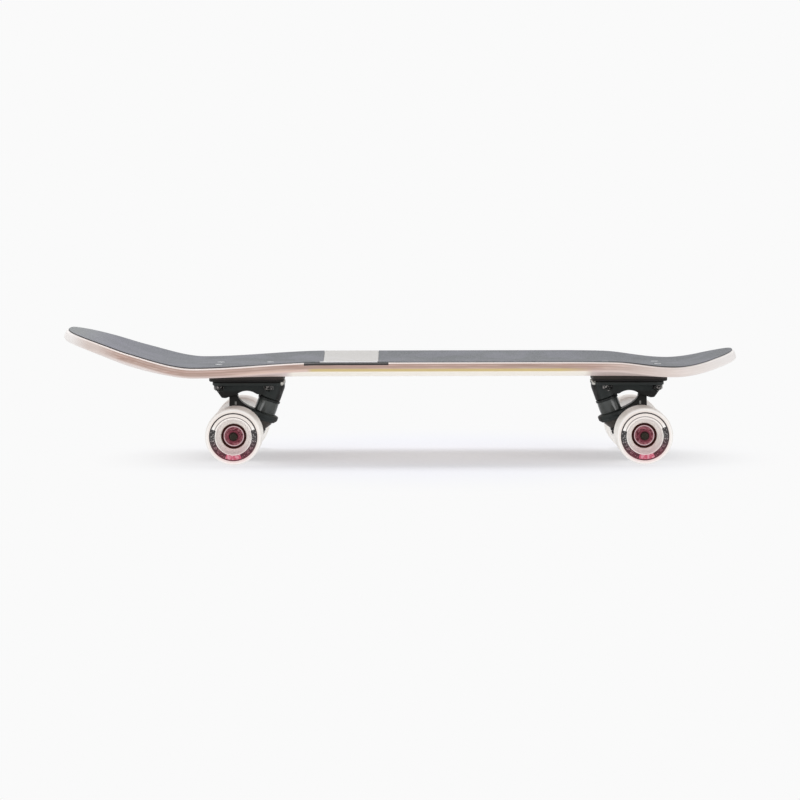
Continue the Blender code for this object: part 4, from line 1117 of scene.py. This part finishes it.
def make_hanger():
    """The hanger casting: pivot nose, post, web, bushing ring and axle housing."""
    ring_left = RING_CENTRE.x - RING_RADIUS * cos(KINGPIN_TILT)
    ring_rim = RING_CENTRE.z + RING_RADIUS * sin(KINGPIN_TILT)
    start = Vector((PIVOT.x + 0.0080, PIVOT.z - 0.0048))
    pull = Vector((PIVOT.x + 0.0099, ring_rim + 0.0095))
    end = Vector((ring_left + 0.0040, ring_rim + 0.0030))
    steps = [step / 18 for step in range(19)]
    outline = [
        (POST_FACE, PIVOT.z - 0.0080),
        (POST_FACE + 0.0020, PIVOT.z - 0.0060),
        *[start * (1 - t) ** 2 + pull * (2 * t * (1 - t)) + end * t**2 for t in steps],
        (ring_left + 0.0050, ring_rim - 0.0010),
        (ring_left + 0.0028, ring_rim - 0.0075),
        (0.0090, AXLE_Z + 0.0060),
        (0.0, AXLE_Z),
        (POST_FACE + 0.0006, AXLE_Z + 0.0040),
        (POST_FACE, AXLE_Z + 0.0150),
    ]

    def web_half(x, z):
        return WEB_HALF + WEB_DRAFT * (PIVOT.z - 0.008 - z)

    web = side_profile("hanger_web", outline, web_half)
    stem_profile = dome(NOSE_RADIUS, 10)
    stem_profile += [(NOSE_RADIUS, -0.0038), (NOSE_RADIUS + GAP, -0.0103), (0.0, -0.0103)]
    stem = turned("hanger_stem", stem_profile, sides=48, edge=0.0)
    ring_profile = [
        (0.0, RING_HUB_BOTTOM),
        (BUSHING_RADIUS + 0.0016, RING_HUB_BOTTOM),
        (RING_RADIUS, -0.0010),
        (RING_RADIUS, RING_TOP),
        (0.0, RING_TOP),
    ]
    ring = turned("hanger_ring", ring_profile, edge=0.0016, steps=6)
    seat = BUSHING_RADIUS + 0.0006
    room_profile = [
        (0.0, -0.0251),
        (KINGPIN_NUT_CORNER + 0.0020, -0.0251),
        (BUSHING_RADIUS + 0.0020, RING_HUB_BOTTOM - 0.0010),
        (BUSHING_RADIUS + 0.0020, RING_HUB_BOTTOM),
        (seat, RING_HUB_BOTTOM),
        (seat, RING_HUB_BOTTOM + SEAT_DEPTH),
        (RING_BORE, RING_HUB_BOTTOM + SEAT_DEPTH),
        (RING_BORE, RING_TOP - SEAT_DEPTH),
        (seat, RING_TOP - SEAT_DEPTH),
        (seat, RING_TOP + 0.004),
        (0.0, RING_TOP + 0.004),
    ]
    room = turned("bushing_room", room_profile, edge=0.0)
    half = HANGER_WIDTH / 2 + 0.004
    bore = turned("axle_bore", tube(AXLE_BORE, -half, half), sides=32, edge=0.0)
    joins = [web, leaning(stem, PIVOT, PIVOT_TILT), on_kingpin(ring)]
    cuts = [on_axle(bore), on_kingpin(room)]
    return combined("hanger", axle_housing(), joins, cuts=cuts, cast=True, finish="paint")


def axle_housing():
    """The beam round the axle, thick in the middle and round at its ends."""
    loops = []
    for place in [-1.0, -0.985] + [step / 24 for step in range(-23, 24)] + [0.985, 1.0]:
        swell = cos(min(abs(place) / 0.62, 1.0) * pi / 2) ** 2
        radius = HOUSING_RADIUS + HOUSING_SWELL * swell - (0.0008 if abs(place) == 1.0 else 0.0)
        middle = AXLE_Z + 0.0027 * swell
        y = place * HANGER_WIDTH / 2
        circle = [2 * pi * side / 48 for side in range(48)]
        loops.append([(radius * cos(a), y, middle + radius * sin(a)) for a in circle])
    return loft("axle_housing", loops)


def hex_piece(name, corner, low, high, finish, chamfered=(True, True)):
    """A hexagon of this corner radius whose corners are turned down at the chosen ends."""
    trim = corner * 0.14
    down, up = (trim * 0.55 if wanted else 0.0 for wanted in chamfered)
    profile = [
        (0.0, low),
        (corner - (trim if down else 0.0), low),
        (corner + 0.00001, low + down),
        (corner + 0.00001, high - up),
        (corner - (trim if up else 0.0), high),
        (0.0, high),
    ]
    prism = slab(name, hexagon(corner), low, high)
    trimmer = turned(name + "_trim", profile, sides=72, edge=0.0)
    return combined(name, prism, within=[trimmer], finish=finish)


def thread(name, radius, pitch, low, high, finish):
    """A thread between two heights."""
    start = bpy.data.meshes.new(name)
    made = grown(name, start, "thread", finish, Radius=radius, Pitch=pitch, Length=high - low)
    made.transform(Matrix.Translation((0.0, 0.0, low)))
    return made


def make_bolts():
    """The truck's four flat-head bolts, each with its hexagon socket, thread and lock nut."""
    top = BOLT_HEAD_Z
    nut_top = PLATE_BOTTOM - GAP
    nut_low = nut_top - BOLT_NUT_HEIGHT
    tail = nut_top - 0.0062
    depths = (
        (0.0, 0.0045),
        (0.0024, 0.0045),
        (0.0024, 0.0032),
        (0.0047, 0.0009),
        (0.0045, 0.0005),
        (0.0036, 0.0001),
        (0.0027, 0.0),
        (0.0, 0.0),
    )
    head_profile = [(radius, top - depth) for radius, depth in depths]
    head = turned("bolt_head", head_profile, "bright", sides=40, edge=0.0001)
    socket = slab("bolt_socket", hexagon(0.0019), top - 0.0018, top + 0.002)
    shank = tube(BOLT_RADIUS, tail, top - 0.0040)
    threaded = (tail + 0.0003, nut_top - 0.0045)
    collar = tube(0.0040, nut_top - 0.0050, nut_low, bore=0.0024, flare=0.0004)
    parts = (
        ("bright", combined("bolt_head", head, cuts=[socket])),
        ("fastener", turned("bolt_shank", shank, "fastener", sides=24)),
        ("fastener", thread("bolt_thread", BOLT_RADIUS, BOLT_PITCH, *threaded, "fastener")),
        (
            "fastener",
            hex_piece("bolt_nut", BOLT_NUT_CORNER, nut_low, nut_top, "fastener", (True, False)),
        ),
        ("nylon", turned("bolt_collar", collar, "nylon", sides=32)),
    )
    return joined("deck_bolts", [grown(mesh.name, mesh, "bolts", finish) for finish, mesh in parts])


def make_upper_bushing():
    """A barrel. Its bore is wide at the ring, where the kingpin leans in it in a turn."""
    low, high = UPPER_BUSHING
    narrow = 0.011
    rim = BUSHING_RADIUS - 0.0003
    profile = [(BUSHING_BORE, low), (rim, low)]
    for share, up in levels(low + 0.001, high - 0.001, 10):
        profile.append((BUSHING_RADIUS + 0.001 * share * (1 - share), up))
    profile.append((rim, high))
    for share, up in levels(high, narrow, 5):
        profile.append((KINGPIN_BORE + (BUSHING_BORE - KINGPIN_BORE) * share, up))
    profile.append((BUSHING_BORE, (low + narrow) / 2))
    return on_kingpin(turned("upper_bushing", profile, "bushing", edge=0.0006, steps=5))


def make_lower_bushing():
    """A cone that narrows to the nut, with its bore wide at the ring."""
    low, high = LOWER_BUSHING
    narrow = -0.008
    foot, wall = 0.0066, BUSHING_RADIUS - 0.0001
    profile = [(KINGPIN_BORE, low)]
    for share, up in levels(low, high - 0.0022, 6):
        profile.append((foot + (wall - foot) * share, up))
    profile += [(wall, high), (BUSHING_BORE, high)]
    for share, up in levels(narrow, low, 5)[:-1]:
        profile.append((BUSHING_BORE + (KINGPIN_BORE - BUSHING_BORE) * share, up))
    return on_kingpin(turned("lower_bushing", profile, "lower_bushing", edge=0.0006, steps=5))


def make_washer(name, face, radius, way):
    """A cupped washer; face is the side away from its bushing and way points to the bushing."""
    inner = face + way * CUPPED_FLOOR
    tip = inner + way * CUPPED_LIP
    profile = [
        (KINGPIN_BORE, face),
        (radius + 0.0008, face),
        (radius + 0.0008, tip),
        (radius + GAP, tip),
        (radius + GAP, inner),
        (KINGPIN_BORE, inner),
    ]
    return on_kingpin(turned(name, profile, "washer", edge=0.0003))


def make_kingpin_nut():
    low = NUT_TOP - NUT_HEIGHT
    body = hex_piece("kingpin_nut", KINGPIN_NUT_CORNER, low + 0.0010, NUT_TOP, "fastener")
    collar = tube(0.0058, low, low + 0.0010, bore=KINGPIN_BORE, flare=0.0002)
    collar = turned("kingpin_collar", collar, "nylon", sides=48)
    return on_kingpin(joined("kingpin_nut", [body, collar]))


def make_kingpin():
    """The kingpin's head and its shank, whose end shows below the nut."""
    tail = NUT_TOP - NUT_HEIGHT - 0.0012
    head = hex_piece("kingpin_head", 0.0070, *KINGPIN_HEAD, "fastener")
    shank = tube(KINGPIN_RADIUS, tail, 0.0330)
    shank = turned("kingpin_shank", shank, "fastener", sides=48, edge=0.0005)
    return on_kingpin(joined("kingpin", [head, shank]))


def make_axle():
    """The axle with a thread at each end."""
    root = AXLE_RADIUS - 0.0003
    end = AXLE_HALF - 0.0008
    pieces = [turned("axle_bar", tube(root, -AXLE_HALF, AXLE_HALF), "axle", 48, 0.0011)]
    for low, high in ((-end, -AXLE_THREAD_FROM), (AXLE_THREAD_FROM, end)):
        pieces.append(thread("axle_thread", root - 0.0001, AXLE_PITCH, low, high, "axle"))
    return on_axle(joined("axle", pieces))


# Wheel pieces, about the wheel's middle with +Z outwards


def make_wheel():
    """The poured wheel with a dish on each side, and the core that holds the bearings."""
    side = [
        (DISH_FLOOR_RADIUS, STACK_HALF),
        (DISH_FLOOR_RADIUS, STACK_HALF + 0.0007),
        (DISH_FLOOR_RADIUS + 0.0020, STACK_HALF + 0.0012),
        (DISH_RADIUS - 0.0012, STACK_HALF + 0.0035),
        (DISH_RADIUS - 0.0002, STACK_HALF + 0.0075),
        (DISH_RADIUS + 0.0006, WHEEL_HALF - 0.0006),
        (DISH_RADIUS + 0.0012, WHEEL_HALF),
        *arc((WHEEL_RADIUS - TREAD_LIP, WHEEL_HALF - TREAD_LIP), TREAD_LIP, pi / 2, 0.0, 10),
    ]
    tyre = turned("wheel", mirrored(side), "wheel", sides=144, edge=0.0004)
    end = STACK_HALF + 0.0006
    core = [(CORE_BORE, CORE_STEP), (CORE_RADIUS, CORE_STEP)]
    core += [(CORE_RADIUS, end), (DISH_FLOOR_RADIUS, end)]
    return joined("wheel", [tyre, turned("wheel_core", mirrored(core), "core")])


def make_bearing():
    """A bearing about its middle, open face up: ground outer ring, red shield, inner lip."""
    half = BEARING_HALF
    rim = BEARING_RADIUS - 0.0014
    cover = [
        (RACE_RADIUS + GAP, -half + 0.0004),
        (rim, -half + 0.0004),
        (rim, half - 0.0004),
        (rim - 0.0008, half - 0.0002),
        (RACE_RADIUS + 0.0010, half - 0.0006),
        (RACE_RADIUS + GAP, half - 0.0003),
    ]
    ring = turned("bearing_ring", tube(BEARING_RADIUS, -half, half, rim), "ring", edge=0.0003)
    return joined("bearing", [ring, turned("bearing_shield", cover, "shield")])


def make_race_stack():
    """Both bearings' inner races and the spacer between them."""
    half = [
        (AXLE_BORE, -STACK_HALF),
        (RACE_RADIUS, -STACK_HALF),
        (RACE_RADIUS, -SPACER_HALF),
        (SPACER_RADIUS, -SPACER_HALF),
    ]
    return turned("race_stack", mirrored(half), "bright", sides=64)


def make_speed_washer():
    low = STACK_HALF + GAP
    profile = tube(WASHER_RADIUS, low, low + WASHER_THICKNESS, AXLE_BORE)
    return turned("speed_washer", profile, "axle", sides=64, edge=0.00015)


def make_axle_nut():
    low = STACK_HALF + 2 * GAP + WASHER_THICKNESS
    high = low + AXLE_NUT_HEIGHT
    body = hex_piece("axle_nut", AXLE_NUT_CORNER, low, high, "nut")
    bore = turned("nut_bore", tube(AXLE_BORE, low - 0.001, high + 0.002), sides=40, edge=0.0)
    body = combined("axle_nut", body, cuts=[bore])
    collar = tube(0.0052, high - 0.0002, high + 0.0010, bore=AXLE_BORE, flare=-0.0002)
    return joined("axle_nut", [body, turned("nut_collar", collar, "insert", sides=48)])


def mark_faces(mesh, centre, outward, turn):
    """Stores each point's place on the wheel's outer face, with Z 1 on the rolling tread."""
    spun = Matrix.Rotation(-turn, 2)
    values = []
    for vert in mesh.vertices:
        from_centre = vert.co - centre
        flat = spun @ Vector((-outward * from_centre.x, from_centre.z))
        rolling = 1.0 if flat.length > WHEEL_RADIUS - 0.0012 else 0.0
        if outward * from_centre.y < 0.0:
            flat = Vector((9.0, 9.0))
        values += [flat.x, flat.y, rolling]
    mesh.attributes.new("face", "FLOAT_VECTOR", "POINT").data.foreach_set("vector", values)


def place_wheels(corner, shapes, turn):
    """One wheel with its bearings, races, washer and nut."""
    outward = 1 if "left" in corner else -1
    centre = Vector(JOINTS[corner + "_wheel_spin"]["pos_m"])
    upright = Matrix.Translation(centre) @ Matrix.Rotation(-outward * pi / 2, 4, "X")
    to_bearing = Matrix.Translation((0.0, 0.0, STACK_HALF - BEARING_HALF))
    moves = {
        "outer_bearing": to_bearing,
        "inner_bearing": to_bearing.inverted() @ Matrix.Rotation(pi, 4, "X"),
    }
    for piece, shape in shapes.items():
        mesh = placed(shape, upright @ moves.get(piece, Matrix()))
        if piece in ("wheel", "outer_bearing"):
            mark_faces(mesh, centre, outward, turn)
        stand_for(mesh, corner + "_" + piece)


def make_trucks():
    """Both trucks and the wheels on them."""
    pieces = (
        (make_riser(), "riser_pad"),
        (make_baseplate(), "baseplate"),
        (make_kingpin(), "kingpin"),
        (make_washer("upper_washer", UPPER_WASHER_FACE, BUSHING_RADIUS, -1), "upper_washer"),
        (make_upper_bushing(), "upper_bushing"),
        (make_lower_bushing(), "lower_bushing"),
        (make_washer("lower_washer", NUT_TOP + GAP, LOWER_WASHER_RADIUS, 1), "lower_washer"),
        (make_kingpin_nut(), "kingpin_nut"),
        (make_hanger(), "hanger"),
        (make_axle(), "axle"),
        (make_bolts(), "deck_bolt_1", "deck_bolt_2", "deck_bolt_3", "deck_bolt_4"),
    )
    bearing = make_bearing()
    wheel_shapes = {
        "wheel": make_wheel(),
        "outer_bearing": bearing,
        "inner_bearing": bearing,
        "race_stack": make_race_stack(),
        "speed_washer": make_speed_washer(),
        "axle_nut": make_axle_nut(),
    }
    for end, truck in TRUCKS.items():
        for mesh, *names in pieces:
            bends = []
            if names[0] in BUSHING_BENDS:
                pin = [along_kingpin(0.0, up) for up in BUSHING_BENDS[names[0]]]
                bends = [end + "_hanger_body"] + [truck @ Vector((x, 0.0, z)) for x, z in pin]
            stand_for(placed(mesh, truck), *[end + "_" + name for name in names], bends=bends)
        cup = frame["nodes"][end + "_pivot_cup"].data.materials
        cup.clear()
        cup.append(FINISHES["cup"])
        for side in ("left", "right"):
            corner = end + "_" + side
            place_wheels(corner, wheel_shapes, WHEEL_TURNS[corner])


# Studio


def make_studio():
    """A pale floor that keeps the soft shadow, even white surroundings and four broad lamps."""
    corners = [(-40.0, -4.0), (40.0, -4.0), (40.0, 90.0), (-40.0, 90.0)]
    floor_mesh = slab("floor", corners, -0.002, 0.0)
    floor = linked("floor", floor_mesh)
    floor.visible_diffuse = False
    floor.visible_shadow = False
    made, add, shader, place = new_finish(
        "pale_floor_paint", Base_Color="E9EAF2", Roughness=0.9, Specular_IOR_Level=0.0
    )
    # Away from the board the floor melts into the white surroundings
    flat = add(MAPPING, place, Location=(-0.04, 0.0, 0.0), Scale=(1.0, 1.0, 0.0))
    melt = add(SOFT_FADE, add("VECTOR_LENGTH", flat), 0.05, 0.39)
    glow = add("ShaderNodeEmission", SURROUNDINGS, 1.0)
    melted = add("ShaderNodeMixShader", melt, shader, glow)
    add(made.node_tree.nodes["Material Output"], melted)
    floor_mesh.materials.append(made)

    world = bpy.data.worlds.new("studio")
    bpy.context.scene.world = world
    world.use_nodes = True
    add = partial(add_node, world.node_tree)
    rays = add("ShaderNodeLightPath").outputs
    seen = add("MAXIMUM", rays["Is Camera Ray"], rays["Is Glossy Ray"])
    seen = add("MAXIMUM", seen, rays["Is Transmission Ray"])
    tone = add(TINT, seen, (AMBIENT, AMBIENT, AMBIENT, 1.0), SURROUNDINGS)
    add(world.node_tree.nodes["Background"], tone, 1.0)

    for name, at, size, share in (
        ("key", (-0.4, 0.75, 2.2), 1.3, 0.40),
        ("left_fill", (-2.0, -1.9, 0.12), 1.2, 0.15),
        ("right_fill", (2.0, -1.9, 0.12), 1.2, 0.15),
        ("bounce", (0.1, -1.6, -1.1), 1.6, 0.14),
    ):
        lamp = bpy.data.lights.new(name, "AREA")
        lamp.size = size
        lamp.energy = share * pi**2 * Vector(at).length ** 2
        holder = linked(name, lamp)
        holder.location = at
        aim = Vector((0.0, 0.0, 0.06)) - Vector(at)
        holder.rotation_euler = aim.to_track_quat("-Z", "Y").to_euler()


def make_camera():
    camera = bpy.data.cameras.new("camera")
    camera.sensor_width = 36.0
    camera.lens = FOCAL_PIXELS * 36.0 / FRAME_PIXELS
    camera.clip_end = 100.0
    holder = linked("camera", camera)
    holder.location = CAMERA_PLACE
    holder.rotation_euler = (pi / 2 - CAMERA_PITCH, CAMERA_ROLL, CAMERA_YAW)
    bpy.context.scene.camera = holder


TRUCKS = {}
for truck_end, turn in (("rear", 0.0), ("front", pi)):
    axle_x = JOINTS[truck_end + "_right_wheel_spin"]["pos_m"][0]
    TRUCKS[truck_end] = Matrix.Translation((axle_x, 0.0, 0.0)) @ Matrix.Rotation(turn, 4, "Z")
TREES = {
    "board": board_tree(),
    "lathe": lathe_tree(),
    "thread": thread_tree(),
    "bolts": bolt_group_tree(),
}
FINISHES = make_finishes()

bpy.context.scene.view_settings.view_transform = "Standard"
make_camera()
make_studio()
make_board()
make_trucks()
